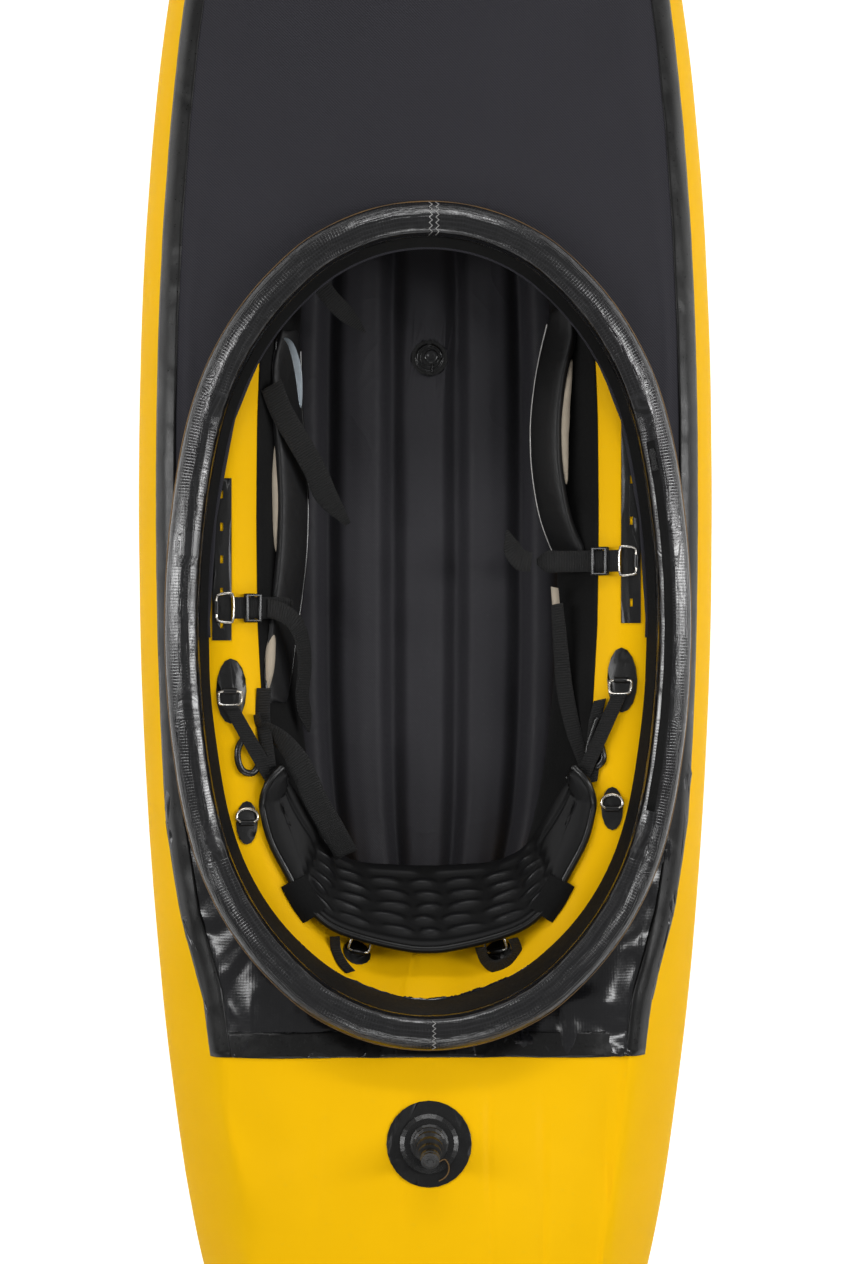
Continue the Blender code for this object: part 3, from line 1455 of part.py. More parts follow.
def make_thigh_pad(name, side):
    """A padded band that stands off the tube's wall between its two ends."""
    path, leans = [], []
    for y, distance in PAD_PATHS[name]:
        place, normal = wall_point(side, y, PAD_Z)
        path.append(place - Vector((side * distance, 0, 0)))
        leans.append(Vector((-normal.z * normal.x, 0, normal.x**2)).normalized())
    sections = []
    crest = []
    for k, point in enumerate(path):
        before, after = path[max(k - 1, 0)], path[min(k + 1, len(path) - 1)]
        along = (after - before).normalized()
        up = (leans[k] - along * leans[k].dot(along)).normalized()
        across = along.cross(up)
        share = PAD_END_SHARE if k in (0, len(path) - 1) else 1.0
        section = [
            point + across * n * PAD_THICKNESS + up * u * PAD_HEIGHT * share
            for n, u in PAD_SECTION_SHARES
        ]
        if k == 0:
            shift = seat_shift(section, LINER_SKIN + GAP * 2.4)
        elif k == len(path) - 1:
            shift = seat_shift(section, LINER_SKIN + GAP * 6)
        else:
            shift = clear_shift(section, LINER_SKIN + GAP * 4)
        sections.append([corner + shift for corner in section])
        crest.append(point + up * PAD_HEIGHT / 2 * share + shift)
    loft(f"thigh_pad_{name}", sections, MATTE_BLACK)
    return crest


def crest_at(crest, y):
    for a, b in zip(crest, crest[1:]):
        if (a.y - y) * (b.y - y) <= 0 and a.y != b.y:
            return a.lerp(b, (y - a.y) / (b.y - a.y))
    return crest[-1]


def make_side_strap(name, side, eye, bar, crest):
    """Webbing from the ring, over the pad's top edge, to a free tip in the cockpit."""
    top = crest_at(crest, eye.y)
    beside = [crest_at(crest, eye.y + shift) for shift in (-WIDE_WEBBING / 2, WIDE_WEBBING / 2)]
    high = max(place.z for place in (top, *beside))
    over = Vector((top.x, eye.y, high + WEBBING_CLEARANCE + WEBBING))
    run = (over - eye).normalized()
    inner = Vector((over.x - side * LEAF_PLACE[0], eye.y, over.z - LEAF_PLACE[1]))
    tip = Vector((over.x - side * LEAF_TIP[0], eye.y, over.z - LEAF_TIP[1]))
    width = bar.normalized() * WIDE_WEBBING
    onward = [eye + run * (SHORT_LEG * 1.25), over, inner]
    onward += [inner.lerp(tip, 0.55), tip]
    acrosses = [width, width, width, width, width * 0.25]
    if name == "left":
        end = over + Vector((-side * LEFT_END_REACH, -LEFT_END_SLEW, 0))
        onward = onward[:2] + [end]
        acrosses = [width, width, width * 0.9]
    looped_webbing(f"thigh_side_strap_{name}", eye, run, bar, WIDE_WEBBING, onward, acrosses)
    return eye + run * LOCK_DISTANCE, run


def make_ladder_lock(name, place, run, bar):
    """A buckle with two bars over the webbing and one under it."""
    up = bar.cross(run).normalized()
    if up.z < 0:
        up.negate()
    frame = frame_at(place, up, run)
    lock = as_mesh(plate(
        f"ladder_lock_{name}",
        [rectangle(-LOCK_LENGTH / 2, LOCK_LENGTH / 2, -LOCK_WIDTH / 2, LOCK_WIDTH / 2)],
        LOCK_HEIGHT, PLASTIC_BLACK, frame, bevel=LOCK_HEIGHT * 0.12,
    ))
    slot = WEBBING + 4 * GAP
    room = WIDE_WEBBING + 6 * GAP
    passage = box_mesh(f"lock_passage_{name}", (LOCK_LENGTH * 2, room, slot))
    passage.matrix_world = frame
    window = box_mesh(f"lock_window_{name}", (LOCK_LENGTH - 2 * LOCK_BAR, room, LOCK_HEIGHT))
    window.matrix_world = frame @ Matrix.Translation((0, 0, LOCK_HEIGHT / 2))
    low_reach = (LOCK_LENGTH - LOCK_BAR) / 2 - LOCK_BAR * 0.7
    boolean(lock, "DIFFERENCE", passage)
    boolean(lock, "DIFFERENCE", window)
    for sign in (-1, 1):
        size = (low_reach, room, LOCK_HEIGHT)
        lower = box_mesh(f"lock_lower_{name}_{sign + 1}", size)
        shift = sign * (LOCK_BAR + low_reach) / 2
        lower.matrix_world = frame @ Matrix.Translation((shift, 0, -LOCK_HEIGHT / 2))
        boolean(lock, "DIFFERENCE", lower)
    return frame


def make_long_tail(crest):
    """A wide webbing tail that lies over the left pad and hangs into the cockpit."""
    over = crest_at(crest, TAIL_OVER_Y)
    over_z = over.z + TAIL_CLEARANCE + WEBBING / 2
    points = [Vector((over.x + inward, y, over_z + rise)) for inward, y, rise in TAIL_PLACES]
    end_x, end_y, end_rise = TAIL_END
    points.append(Vector((end_x, end_y, over_z + end_rise)))
    heading = (points[-1] - points[1]).normalized()
    across = heading.cross(Vector((0, 0, 1))).normalized() * LONG_TAIL_WIDTH
    points[0] += clear_shift([points[0] - across / 2, points[0] + across / 2], WEBBING * 2)
    acrosses = [across] * (len(points) - 1) + [across * 0.3]
    ribbon("thigh_strap_tail_left", points, acrosses, WEBBING, WEBBING_BLACK)


# Patches with rings


def make_hip(name, side):
    y = HIP_PATCH_Y[name]
    place, normal = top_point(side * edge_x(y, HIP_INSET[name]), y)
    frame = frame_at(place, normal, (1, 0, 0))
    patch = hull_patch(f"hip_patch_{name}", [oval_outline(HIP_PATCH_LENGTH, HIP_PATCH_WIDTH)],
                       frame)
    axis = add_tab(patch, frame)
    points = triangle_points(RING_WIDTH, RING_WIDTH, RING_DEPTH)
    make_ring(f"hip_ring_{name}", axis, points, HIP_RING_LIFT)
    return ring_eye(axis, RING_DEPTH, HIP_RING_LIFT)


def make_rear_side(name, side):
    y = REAR_SIDE_PATCH_Y[name]
    place, normal = top_point(side * edge_x(y, REAR_SIDE_INSET), y)
    frame = frame_at(place, normal, (-1, 0, 0))
    outline = oval_outline(REAR_SIDE_PATCH_LENGTH, REAR_SIDE_PATCH_WIDTH)
    patch = hull_patch(f"rear_side_patch_{name}", [outline], frame)
    axis = add_tab(patch, frame)
    points = d_ring_points(RING_WIDTH, RING_DEPTH)
    make_ring(f"rear_side_ring_{name}", axis, points, REAR_RING_LIFT)
    return axis


def make_stern_patch(name, side):
    place, normal = top_point(side * STERN_PATCH_X, STERN_PATCH_Y)
    frame = frame_at(place, normal, (-1, 0, 0))
    outline = oval_outline(STERN_PATCH_LENGTH, STERN_PATCH_WIDTH)
    patch = hull_patch(f"stern_patch_{name}", [outline], frame)
    axis = add_tab(patch, frame)
    points = triangle_points(RING_WIDTH, RING_WIDTH, RING_DEPTH)
    slope = math.degrees(math.acos(max(min(normal.z, 1.0), -1.0)))
    make_ring(f"stern_ring_{name}", axis, points, slope)
    return ring_eye(axis, RING_DEPTH, slope)


# Backband


def band_point(turn, share):
    """A point of the band's back: the turn runs from tip to tip, the share from foot to top."""
    sine, cosine = math.sin(turn), math.cos(turn)
    power = 2 / BAND_ROUNDNESS
    wide = math.copysign(abs(sine) ** power, sine)
    deep = abs(cosine) ** power
    tip = abs(sine) ** 3
    top = Vector((BAND_HALF_WIDTH * wide, BAND_TOP_Y - BAND_TOP_DEPTH * deep,
                  mix(BAND_TOP_Z, BAND_TIP_Z, tip)))
    foot = Vector((BAND_FOOT_HALF_WIDTH * wide, BAND_FOOT_Y - BAND_FOOT_DEPTH * deep,
                   mix(BAND_FOOT_Z, BAND_FOOT_TIP_Z, tip)))
    point = foot.lerp(top, share)
    return point + clear_shift([point], BAND_SHELL + BAND_CLEARANCE)


def band_turns():
    """Positions along the band: even steps over the bumps, longer ones along the wings."""
    half = math.pi / 2
    spread = half * BUMP_HALF_SPREAD
    count = BUMP_COLUMNS * COLUMN_STEPS
    middle = [mix(-spread, spread, k / count) for k in range(count + 1)]
    wing = [mix(spread, half, (k + 1) / WING_STEPS) for k in range(WING_STEPS)]
    return [-turn for turn in reversed(wing)] + middle + wing


def bump_height(turn, share):
    spread = math.pi / 2 * BUMP_HALF_SPREAD
    if abs(turn) > spread:
        return 0.35
    across = (turn + spread) / (2 * spread) * BUMP_COLUMNS
    upward = share * BUMP_ROWS
    swell = abs(math.sin(math.pi * across)) * abs(math.sin(math.pi * upward))
    return swell**0.6


def make_backband():
    turns = band_turns()
    row_count = BUMP_ROWS * ROW_STEPS
    shares = [k / row_count for k in range(row_count + 1)]
    back = [[band_point(turn, share) for share in shares] for turn in turns]
    shape = grid_bmesh(back)
    shape.normal_update()
    shape.verts.ensure_lookup_table()
    middle = len(turns) // 2 * len(shares) + len(shares) // 2
    if shape.verts[middle].normal.y > 0:
        bmesh.ops.reverse_faces(shape, faces=shape.faces)
        shape.normal_update()
    inward = [-vertex.normal for vertex in shape.verts]
    shape.free()
    rows = [back[i][:: row_count // 5] for i in range(len(turns))]
    sheet = grid_bmesh(rows)
    sheet.normal_update()
    if sum(face.normal.y for face in sheet.faces) > 0:
        bmesh.ops.reverse_faces(sheet, faces=sheet.faces)
    shell = object_from_bmesh("backband_shell", sheet, PLASTIC_BLACK)
    smooth_object(solidify(shell, BAND_SHELL))
    shape = bmesh.new()
    near, far = [], []
    for i, turn in enumerate(turns):
        for j, share in enumerate(shares):
            direction = inward[i * len(shares) + j]
            at_edge = j in (0, len(shares) - 1) or i in (0, len(turns) - 1)
            height = BAND_PAD * 0.55 if at_edge else BAND_PAD
            if not at_edge:
                height += BAND_BUMP * bump_height(turn, share)
            near.append(shape.verts.new(back[i][j] + direction * GAP * 5))
            far.append(shape.verts.new(back[i][j] + direction * (GAP * 5 + height)))
    columns, rows_count = len(turns), len(shares)
    for i in range(columns - 1):
        for j in range(rows_count - 1):
            a, b = i * rows_count + j, (i + 1) * rows_count + j
            shape.faces.new((near[a], near[b], near[b + 1]))
            shape.faces.new((near[a], near[b + 1], near[a + 1]))
            shape.faces.new((far[a], far[b + 1], far[b]))
            shape.faces.new((far[a], far[a + 1], far[b + 1]))
    last = rows_count - 1
    for i in range(columns - 1):
        a, b = i * rows_count, (i + 1) * rows_count
        shape.faces.new((near[a], far[a], far[b], near[b]))
        shape.faces.new((near[a + last], near[b + last], far[b + last], far[a + last]))
    end = (columns - 1) * rows_count
    for j in range(rows_count - 1):
        shape.faces.new((near[j], near[j + 1], far[j + 1], far[j]))
        shape.faces.new((near[end + j], far[end + j], far[end + j + 1], near[end + j + 1]))
    bmesh.ops.recalc_face_normals(shape, faces=shape.faces)
    smooth_object(object_from_bmesh("backband_pad", shape, MATTE_BLACK), 60)
    rim = []
    for i in range(len(turns)):
        up = (back[i][-1] - back[i][-2]).normalized()
        direction = inward[i * len(shares) + last]
        place = back[i][-1] + up * (BAND_RIM_RADIUS + GAP * 3) + direction * BAND_PAD * 0.3
        rim.append(place + clear_shift([place], BAND_RIM_RADIUS + GAP * 4))
    rim = rim[:: 2] if len(rim) % 2 else rim
    wire("backband_rim", rim, BAND_RIM_RADIUS, GLOSS_BLACK)
    return back


def make_band_side_strap(name, side, eye, bar, back):
    """Webbing from the hip ring to the end of the band's wing."""
    wing = back[-1] if side > 0 else back[0]
    foot, top = wing[0], wing[-1]
    if side > 0:
        inner = back[-2]
    else:
        inner = back[1]
    out = ((wing[0] + wing[-1]) / 2 - (inner[0] + inner[-1]) / 2).normalized()
    end = (foot + top) / 2 + out * GAP * 4
    slope = (top - foot).normalized() * SIDE_WEBBING
    if slope.dot(bar) < 0:
        slope.negate()
    run = (end - eye).normalized()
    lift = Vector((0, 0, BAND_STRAP_LIFT))
    onward = [eye.lerp(end, 0.4) + lift, eye.lerp(end, 0.7) + lift, end]
    side_across = bar.normalized() * SIDE_WEBBING
    acrosses = [side_across.lerp(slope, 0.4), side_across.lerp(slope, 0.75), slope]
    acrosses = [across.normalized() * SIDE_WEBBING for across in acrosses]
    looped_webbing(f"backband_side_strap_{name}", eye, run, bar, SIDE_WEBBING, onward, acrosses)


def make_band_rear_strap(name, eye, bar, back):
    """A short webbing from the stern ring to the back of the band."""
    best = min((row[-3] for row in back), key=lambda place: abs(place.x - eye.x))
    end = Vector((eye.x, best.y - BAND_SHELL * 1.2, eye.z))
    run = (end - eye).normalized()
    end = end - run * (BAND_SHELL + GAP * 6)
    onward = [end]
    looped_webbing(f"backband_rear_strap_{name}", eye, run, bar, REAR_WEBBING, onward)


# The build


def main():
    make_hull()
    make_floor_skin()
    make_liners()
    top = make_floor_mat()
    make_floor_valve(top)
    front = make_front_deck()
    rear = make_rear_deck()
    make_tapes()
    make_hem()
    make_coaming([surface_tree(front), surface_tree(rear)])
    make_zip()
    make_rear_valve()
    back = make_backband()
    for name, side in SIDES:
        eye, bar = make_anchor(name, side)
        crest = make_thigh_pad(name, side)
        place, run = make_side_strap(name, side, eye, bar, crest)
        make_ladder_lock(name, place, run, bar)
        if name == "left":
            make_long_tail(crest)
        eye, bar = make_hip(name, side)
        make_band_side_strap(name, side, eye, bar, back)
        make_rear_side(name, side)
        eye, bar = make_stern_patch(name, side)
        make_band_rear_strap(name, eye, bar, back)


if __name__ == "__main__":
    main()
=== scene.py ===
"""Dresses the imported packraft: tubes, decks, coaming, floor mat, padding, webbing and fittings."""

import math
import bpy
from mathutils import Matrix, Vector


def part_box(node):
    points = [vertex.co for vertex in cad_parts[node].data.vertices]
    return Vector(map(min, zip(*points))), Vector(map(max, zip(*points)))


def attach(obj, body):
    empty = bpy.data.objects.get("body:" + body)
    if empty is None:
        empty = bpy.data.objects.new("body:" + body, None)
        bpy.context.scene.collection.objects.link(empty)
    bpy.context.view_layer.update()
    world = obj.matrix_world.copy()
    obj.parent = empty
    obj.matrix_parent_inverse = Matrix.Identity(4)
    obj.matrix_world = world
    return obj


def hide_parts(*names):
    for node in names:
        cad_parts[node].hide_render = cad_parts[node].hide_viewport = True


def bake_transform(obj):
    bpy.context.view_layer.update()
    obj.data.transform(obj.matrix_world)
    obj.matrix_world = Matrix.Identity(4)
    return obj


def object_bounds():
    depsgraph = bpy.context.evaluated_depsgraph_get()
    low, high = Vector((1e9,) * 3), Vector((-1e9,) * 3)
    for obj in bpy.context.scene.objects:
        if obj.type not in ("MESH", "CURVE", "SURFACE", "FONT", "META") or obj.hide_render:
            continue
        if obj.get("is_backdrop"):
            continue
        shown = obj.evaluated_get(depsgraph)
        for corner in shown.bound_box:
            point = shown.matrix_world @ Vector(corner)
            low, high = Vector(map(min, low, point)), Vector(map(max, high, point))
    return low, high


bl_info = {
    "name": "Packraft dressing",
    "version": (1, 0, 0),
    "blender": (4, 5, 0),
    "location": "3D View > Sidebar > Packraft",
    "description": "Fabric, padding, webbing and fittings over the packed packraft",
    "category": "Object",
}

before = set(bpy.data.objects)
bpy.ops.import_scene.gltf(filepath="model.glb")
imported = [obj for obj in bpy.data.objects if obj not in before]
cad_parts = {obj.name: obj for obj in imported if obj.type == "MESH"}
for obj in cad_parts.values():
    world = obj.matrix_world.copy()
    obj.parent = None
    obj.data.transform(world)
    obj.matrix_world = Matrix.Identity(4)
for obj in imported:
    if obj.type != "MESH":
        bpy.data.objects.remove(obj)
CAD_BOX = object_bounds()

import bmesh
import bpy
from bpy.props import FloatProperty, FloatVectorProperty, PointerProperty
from mathutils import Matrix, Vector, noise
from mathutils.bvhtree import BVHTree

MERGE = 1e-6
# Radians between two faces, over which they belong to two sides of a sheet
SHARP_ANGLE = 1.0
UP = Vector((0, 0, 1))

# The photograph's frame
FRAME_WIDTH = 848
PIXEL = 0.001431
FLOOR_REACH = 60.0
CAMERA_HEIGHT = 3.6
CAMERA_LEAN = 0.022
AIM = Vector((-0.003, -0.1574, 0.12))

COAMING_CENTRE = Vector((0.0, -0.149, 0.0))
RIM_HALF_WIDTH = 0.345
RIM_HALF_LENGTH = 0.560
SIDES = (("left", -1), ("right", 1))

LENS_SIDES = 14
# A strap's face is a part of its rim where it is narrower than this
STRAP_RIM = 0.00195
WEBBING_THICKNESS = 0.0016
WEBBING_ABOVE_HULL = 0.006


# Settings


def colour_setting(name, description, default):
    return FloatVectorProperty(name=name, description=description, subtype="COLOR",
                               default=default, min=0, max=1)


def length_setting(name, description, default):
    return FloatProperty(name=name, description=description, default=default, unit="LENGTH")


class HullSettings(bpy.types.PropertyGroup):
    colour: colour_setting("Colour", "Colour of the inflated tubes", (0.930, 0.515, 0.002))
    roughness: FloatProperty(
        name="Roughness", description="How matte the coated tube fabric is", default=0.42,
        min=0, max=1)
    wrinkle: length_setting("Wrinkle depth", "Depth of the soft folds over the stern", 0.0018)


class DeckSettings(bpy.types.PropertyGroup):
    colour: colour_setting("Front colour", "Colour of the woven front deck",
                           (0.0240, 0.0232, 0.0288))
    rear_colour: colour_setting("Rear colour", "Colour of the coated rear deck",
                                (0.005, 0.005, 0.006))
    pitch: length_setting("Weave pitch", "Distance between threads of the deck cloth", 0.0040)
    crease: length_setting("Crease depth", "Depth of the rear deck's wrinkles", 0.0042)


class CoamingSettings(bpy.types.PropertyGroup):
    colour: colour_setting("Colour", "Colour of the glossy sleeve", (0.008, 0.008, 0.009))
    piping: colour_setting("Piping colour", "Colour of the thin cord at the rim's outer edge",
                           (0.16, 0.085, 0.02))
    crease: length_setting("Crease depth", "Depth of the sleeve's cross wrinkles", 0.0010)


class FloorSettings(bpy.types.PropertyGroup):
    colour: colour_setting("Colour", "Colour of the inflatable mat", (0.031, 0.030, 0.035))


class GearSettings(bpy.types.PropertyGroup):
    colour: colour_setting("Webbing colour", "Colour of the straps", (0.0065, 0.0065, 0.0065))
    rib_pitch: length_setting("Rib pitch", "Distance between the webbing's cross ribs", 0.0036)
    foam: colour_setting("Foam colour", "Colour of the foam that shows in the thigh pads",
                         (0.42, 0.36, 0.28))


# Shader building


class Web:
    """Short calls for placing and joining shader nodes."""

    def __init__(self, tree):
        self.tree = tree

    def node(self, kind, **settings):
        made = self.tree.nodes.new(kind)
        for key, value in settings.items():
            setattr(made, key, value)
        return made

    def feed(self, socket, value):
        if isinstance(value, bpy.types.NodeSocket):
            self.tree.links.new(value, socket)
        elif value is not None:
            socket.default_value = value

    def math(self, operation, a, b=None):
        made = self.node("ShaderNodeMath", operation=operation)
        for socket, value in zip(made.inputs, (a, b)):
            self.feed(socket, value)
        return made.outputs[0]

    def times(self, a, b):
        return self.math("MULTIPLY", a, b)

    def plus(self, a, b):
        return self.math("ADD", a, b)

    def over(self, a, b):
        return self.math("DIVIDE", a, b)

    def wave(self, value, turn):
        return self.math("SINE", self.times(value, turn))

    def length(self, a):
        made = self.node("ShaderNodeVectorMath", operation="LENGTH")
        self.feed(made.inputs[0], a)
        return made.outputs["Value"]

    def split(self, value):
        made = self.node("ShaderNodeSeparateXYZ")
        self.feed(made.inputs[0], value)
        return made.outputs

    def join(self, x, y, z):
        made = self.node("ShaderNodeCombineXYZ")
        for socket, value in zip(made.inputs, (x, y, z)):
            self.feed(socket, value)
        return made.outputs[0]

    def noise(self, where, scale, detail=3.0, rough=0.5, bend=0.0):
        made = self.node("ShaderNodeTexNoise")
        self.feed(made.inputs["Vector"], where)
        self.feed(made.inputs["Scale"], scale)
        self.feed(made.inputs["Detail"], detail)
        self.feed(made.inputs["Roughness"], rough)
        self.feed(made.inputs["Distortion"], bend)
        return made.outputs[0]

    def span(self, value, low, high, to_low=0.0, to_high=1.0):
        made = self.node("ShaderNodeMapRange")
        for socket, number in zip(made.inputs, (value, low, high, to_low, to_high)):
            self.feed(socket, number)
        return made.outputs[0]

    def blend(self, share, a, b):
        made = self.node("ShaderNodeMix", data_type="RGBA")
        self.feed(made.inputs["Factor"], share)
        self.feed(made.inputs["A"], a)
        self.feed(made.inputs["B"], b)
        return made.outputs["Result"]

    def bump(self, height, strength, distance, normal=None):
        made = self.node("ShaderNodeBump")
        self.feed(made.inputs["Height"], height)
        self.feed(made.inputs["Strength"], strength)
        self.feed(made.inputs["Distance"], distance)
        self.feed(made.inputs["Normal"], normal)
        return made.outputs[0]

    def use(self, name, **values):
        made = self.node("ShaderNodeGroup")
        made.node_tree = GROUPS[name]()
        for key, value in values.items():
            self.feed(made.inputs[key], value)
        return made.outputs


class Group(Web):
    """A new node group that is given a Vector and values, and makes values."""

    def __init__(self, name, values, made):
        super().__init__(bpy.data.node_groups.new(name, "ShaderNodeTree"))
        self.socket("Vector", "INPUT", "NodeSocketVector")
        for label, default in values.items():
            self.socket(label, "INPUT").default_value = default
        for label in made:
            self.socket(label, "OUTPUT")
        self.given = self.node("NodeGroupInput").outputs
        self.out = self.node("NodeGroupOutput").inputs

    def socket(self, label, side, kind="NodeSocketFloat"):
        return self.tree.interface.new_socket(label, in_out=side, socket_type=kind)

    def threads(self):
        """The count of pitches that a place is along X and along Y."""
        x, y, _ = self.split(self.given["Vector"])
        return [self.over(part, self.given["Pitch"]) for part in (x, y)]

    def done(self, **made):
        for label, value in made.items():
            self.feed(self.out[label], value)
        return self.tree


def once(maker):
    """Keeps a group, a material or a tree, so that it is built one time only."""
    kept = []

    def fetch():
        if not kept:
            kept.append(maker())
        return kept[0]

    return fetch


@once
def plain_weave():
    """Over and under threads at a pitch in metres along X and Y."""
    web = Group("plain_weave", {"Pitch": 0.001}, ["Height"])
    across, along = web.threads()
    warp, weft = [web.math("ABSOLUTE", web.wave(part, math.pi)) for part in (across, along)]
    cells = web.plus(web.math("FLOOR", across), web.math("FLOOR", along))
    parity = web.math("ABSOLUTE", web.math("MODULO", cells, 2.0))
    other = web.times(weft, web.math("SUBTRACT", 1.0, parity))
    return web.done(Height=web.plus(web.times(warp, parity), other))


@once
def ripstop():
    """A grid of raised threads at a pitch in metres, with a mask of the threads."""
    web = Group("ripstop", {"Pitch": 0.0036}, ["Height", "Line"])
    first, second = [web.span(web.wave(part, math.tau), 0.1, 0.95) for part in web.threads()]
    return web.done(Line=web.math("MAXIMUM", first, second),
                    Height=web.plus(web.times(first, 0.6), web.times(second, 0.4)))


@once
def twill():
    """Short slanting floats, as in a twill cloth, on X and Y."""
    web = Group("twill", {"Pitch": 0.0034}, ["Height", "Float"])
    across, along = web.threads()
    slant = web.wave(web.plus(across, along), math.tau)
    rows = web.wave(along, 2 * math.tau)
    both = web.plus(web.times(slant, 0.65), web.times(rows, 0.35))
    return web.done(Height=web.span(both, -1.0, 1.0), Float=web.span(slant, -0.4, 0.9))


@once
def soft_creases():
    """Ridges that wander, as creases in a coated cloth do."""
    web = Group("soft_creases", {"Scale": 8.0, "Bend": 1.0}, ["Height", "Broad"])
    place, scale, bend = [web.given[name] for name in ("Vector", "Scale", "Bend")]
    first = web.noise(place, scale, 2.0, 0.5, bend)
    ridge = web.math("ABSOLUTE", web.math("SUBTRACT", first, 0.5))
    sharp = web.math("POWER", web.span(ridge, 0.0, 0.16, 1.0, 0.0), 2.0)
    second = web.noise(place, web.times(scale, 3.1), 3.0, 0.6, bend)
    return web.done(Height=web.plus(web.times(sharp, 0.7), web.times(second, 0.45)), Broad=first)


@once
def mottle():
    """Slow and fine change of tone over a surface, and a few specks of dust."""
    web = Group("mottle", {"Scale": 5.0}, ["Slow", "Fine", "Dust"])
    place, scale = web.given["Vector"], web.given["Scale"]
    slow = web.noise(place, scale, 3.0, 0.6)
    fine = web.noise(place, web.times(scale, 38.0), 2.0, 0.5)
    specks = web.noise(place, web.times(scale, 55.0), 0.0, 0.5)
    return web.done(Slow=web.span(slow, 0.3, 0.7), Fine=fine, Dust=web.span(specks, 0.74, 0.80))


GROUPS = {"plain_weave": plain_weave, "ripstop": ripstop, "twill": twill,
          "soft_creases": soft_creases, "mottle": mottle}
DUST = (0.10, 0.10, 0.10, 1)


class Surface(Web):
    """A new material, with plain values on its Principled shader's sockets."""

    def __init__(self, name, colour, roughness, **sockets):
        self.made = bpy.data.materials.new(name)
        self.made.use_nodes = True
        super().__init__(self.made.node_tree)
        self.colour = colour
        self.shader = self.tree.nodes["Principled BSDF"]
        self.shader.inputs["Base Color"].default_value = (*colour, 1)
        self.shader.inputs["Roughness"].default_value = roughness
        for key, value in sockets.items():
            self.shader.inputs[key.replace("_", " ")].default_value = value
        where = self.node("ShaderNodeTexCoord").outputs
        self.place, self.flat = where["Object"], where["UV"]

    def shade(self, times):
        """The material's colour, made darker or paler."""
        return (*[min(part * times, 1.0) for part in self.colour], 1)

    def tone(self, scale):
        return self.use("mottle", Vector=self.place, Scale=scale)

    def dusted(self, base, tone, share, dust=DUST):
        """A colour with a few specks of dust."""
        return self.blend(self.times(tone["Dust"], share), base, dust)

    def grain(self, scale, detail, strength, depth, rough=0.5):
        """A fine relief of plain noise."""
        return self.bump(self.noise(self.place, scale, detail, rough), strength, depth)

    def creased(self, scale, bend, strength, depth, fine, kind="Broad"):
        """Soft creases over a fine relief."""
        creases = self.use("soft_creases", Vector=self.place, Scale=scale, Bend=bend)
        return self.bump(creases[kind], strength, depth, fine)

    def done(self, base, roughness, normal=None, coat=None):
        """Joins what was made to the shader, and gives the material."""
        made = {"Base Color": base, "Roughness": roughness, "Normal": normal, "Coat Weight": coat}
        for label, value in made.items():
            self.feed(self.shader.inputs[label], value)
        return self.made

    def varied(self, scale, dark, pale, low, high, normal=None):
        """Ends a material that varies between two tones and two values of roughness."""
        tone = self.tone(scale)
        return self.done(self.blend(tone["Slow"], self.shade(dark), self.shade(pale)),
                         self.span(tone["Fine"], 0.2, 0.8, low, high), normal)


def settings():
    return bpy.context.scene.packraft


@once
def tube_fabric():
    """Satin coated fabric of the tubes."""
    matte = settings().hull.roughness
    web = Surface("tube_fabric", settings().hull.colour, matte, Specular_IOR_Level=0.03,
                  Coat_Roughness=0.28)
    tone = web.tone(3.0)
    base = web.blend(tone["Slow"], web.shade(0.95), web.shade(1.03))
    base = web.dusted(base, tone, 0.05, (0.75, 0.55, 0.06, 1))
    weave = web.use("plain_weave", Vector=web.place, Pitch=0.0011)
    x, y, z = web.split(web.place)
    long = web.join(web.times(x, 26.0), web.times(y, 2.2), z)
    folds = web.noise(long, 1.0, 3.0, 0.55, 0.4)
    fine = web.bump(weave["Height"], 0.10, 0.0002)
    return web.done(base, web.span(tone["Fine"], 0.3, 0.7, matte + 0.06, matte + 0.18),
                    web.bump(folds, 0.22, 0.004, fine),
                    web.span(tone["Slow"], 0.0, 1.0, 0.0, 0.03))


@once
def deck_cloth():
    """Matte woven charcoal cloth with pale flecks in its threads."""
    web = Surface("deck_cloth", settings().deck.colour, 0.82, Specular_IOR_Level=0.2,
                  Sheen_Weight=0.04, Sheen_Roughness=0.5)
    weave = web.use("twill", Vector=web.place, Pitch=settings().deck.pitch)
    tone = web.tone(4.0)
    threads = web.blend(weave["Height"], web.shade(0.55), web.shade(1.5))
    flecks = web.times(tone["Fine"], weave["Float"])
    base = web.blend(web.span(flecks, 0.35, 0.8, 0.0, 0.6), threads, web.shade(2.0))
    base = web.blend(web.span(tone["Slow"], 0.0, 1.0, 0.0, 0.3), base, web.shade(0.72))
    return web.done(base, web.span(tone["Fine"], 0.2, 0.8, 0.70, 0.86),
                    web.creased(2.2, 0.5, 0.5, 0.012, web.bump(weave["Height"], 0.5, 0.0006)))


def coated(name, colour, low, high, scale, depth, grid=0.0, gleam=0.35):
    """Black coated cloth: deep gloss, soft folds and, where asked, a grid of threads. Its colour
    follows the folds: darker in their hollows as painted shade, paler on their crests as painted
    light.
    """
    web = Surface(name, colour, low, Specular_IOR_Level=gleam, Coat_Roughness=0.10)
    folds = web.noise(web.place, scale, 1.0, 0.4, 1.6)
    tone = web.tone(7.0)
    # The fold height that bumps the cloth also darkens its hollows (painted shade) and pales its
    # crests (painted light)
    base = web.dusted(web.blend(folds, web.shade(0.5), web.shade(1.3)), tone, 0.10)
    if grid:
        threads = web.use("ripstop", Vector=web.place, Pitch=grid)
        base = web.blend(web.times(threads["Line"], 0.5), base, web.shade(2.2))
        height = threads["Height"]
    else:
        height = web.noise(web.place, 420.0, 2.0)
    return web.done(base, web.span(tone["Fine"], 0.25, 0.75, low, high),
                    web.bump(folds, 0.8, depth, web.bump(height, 0.22, 0.0003)),
                    web.span(tone["Slow"], 0.3, 1.0, 0.0, 0.25))


@once
def rear_cloth():
    """Coated cloth of the rear deck, with a grid of threads."""
    return coated("rear_cloth", settings().deck.rear_colour, 0.15, 0.27, 9.0, 0.022, 0.0040, 0.6)


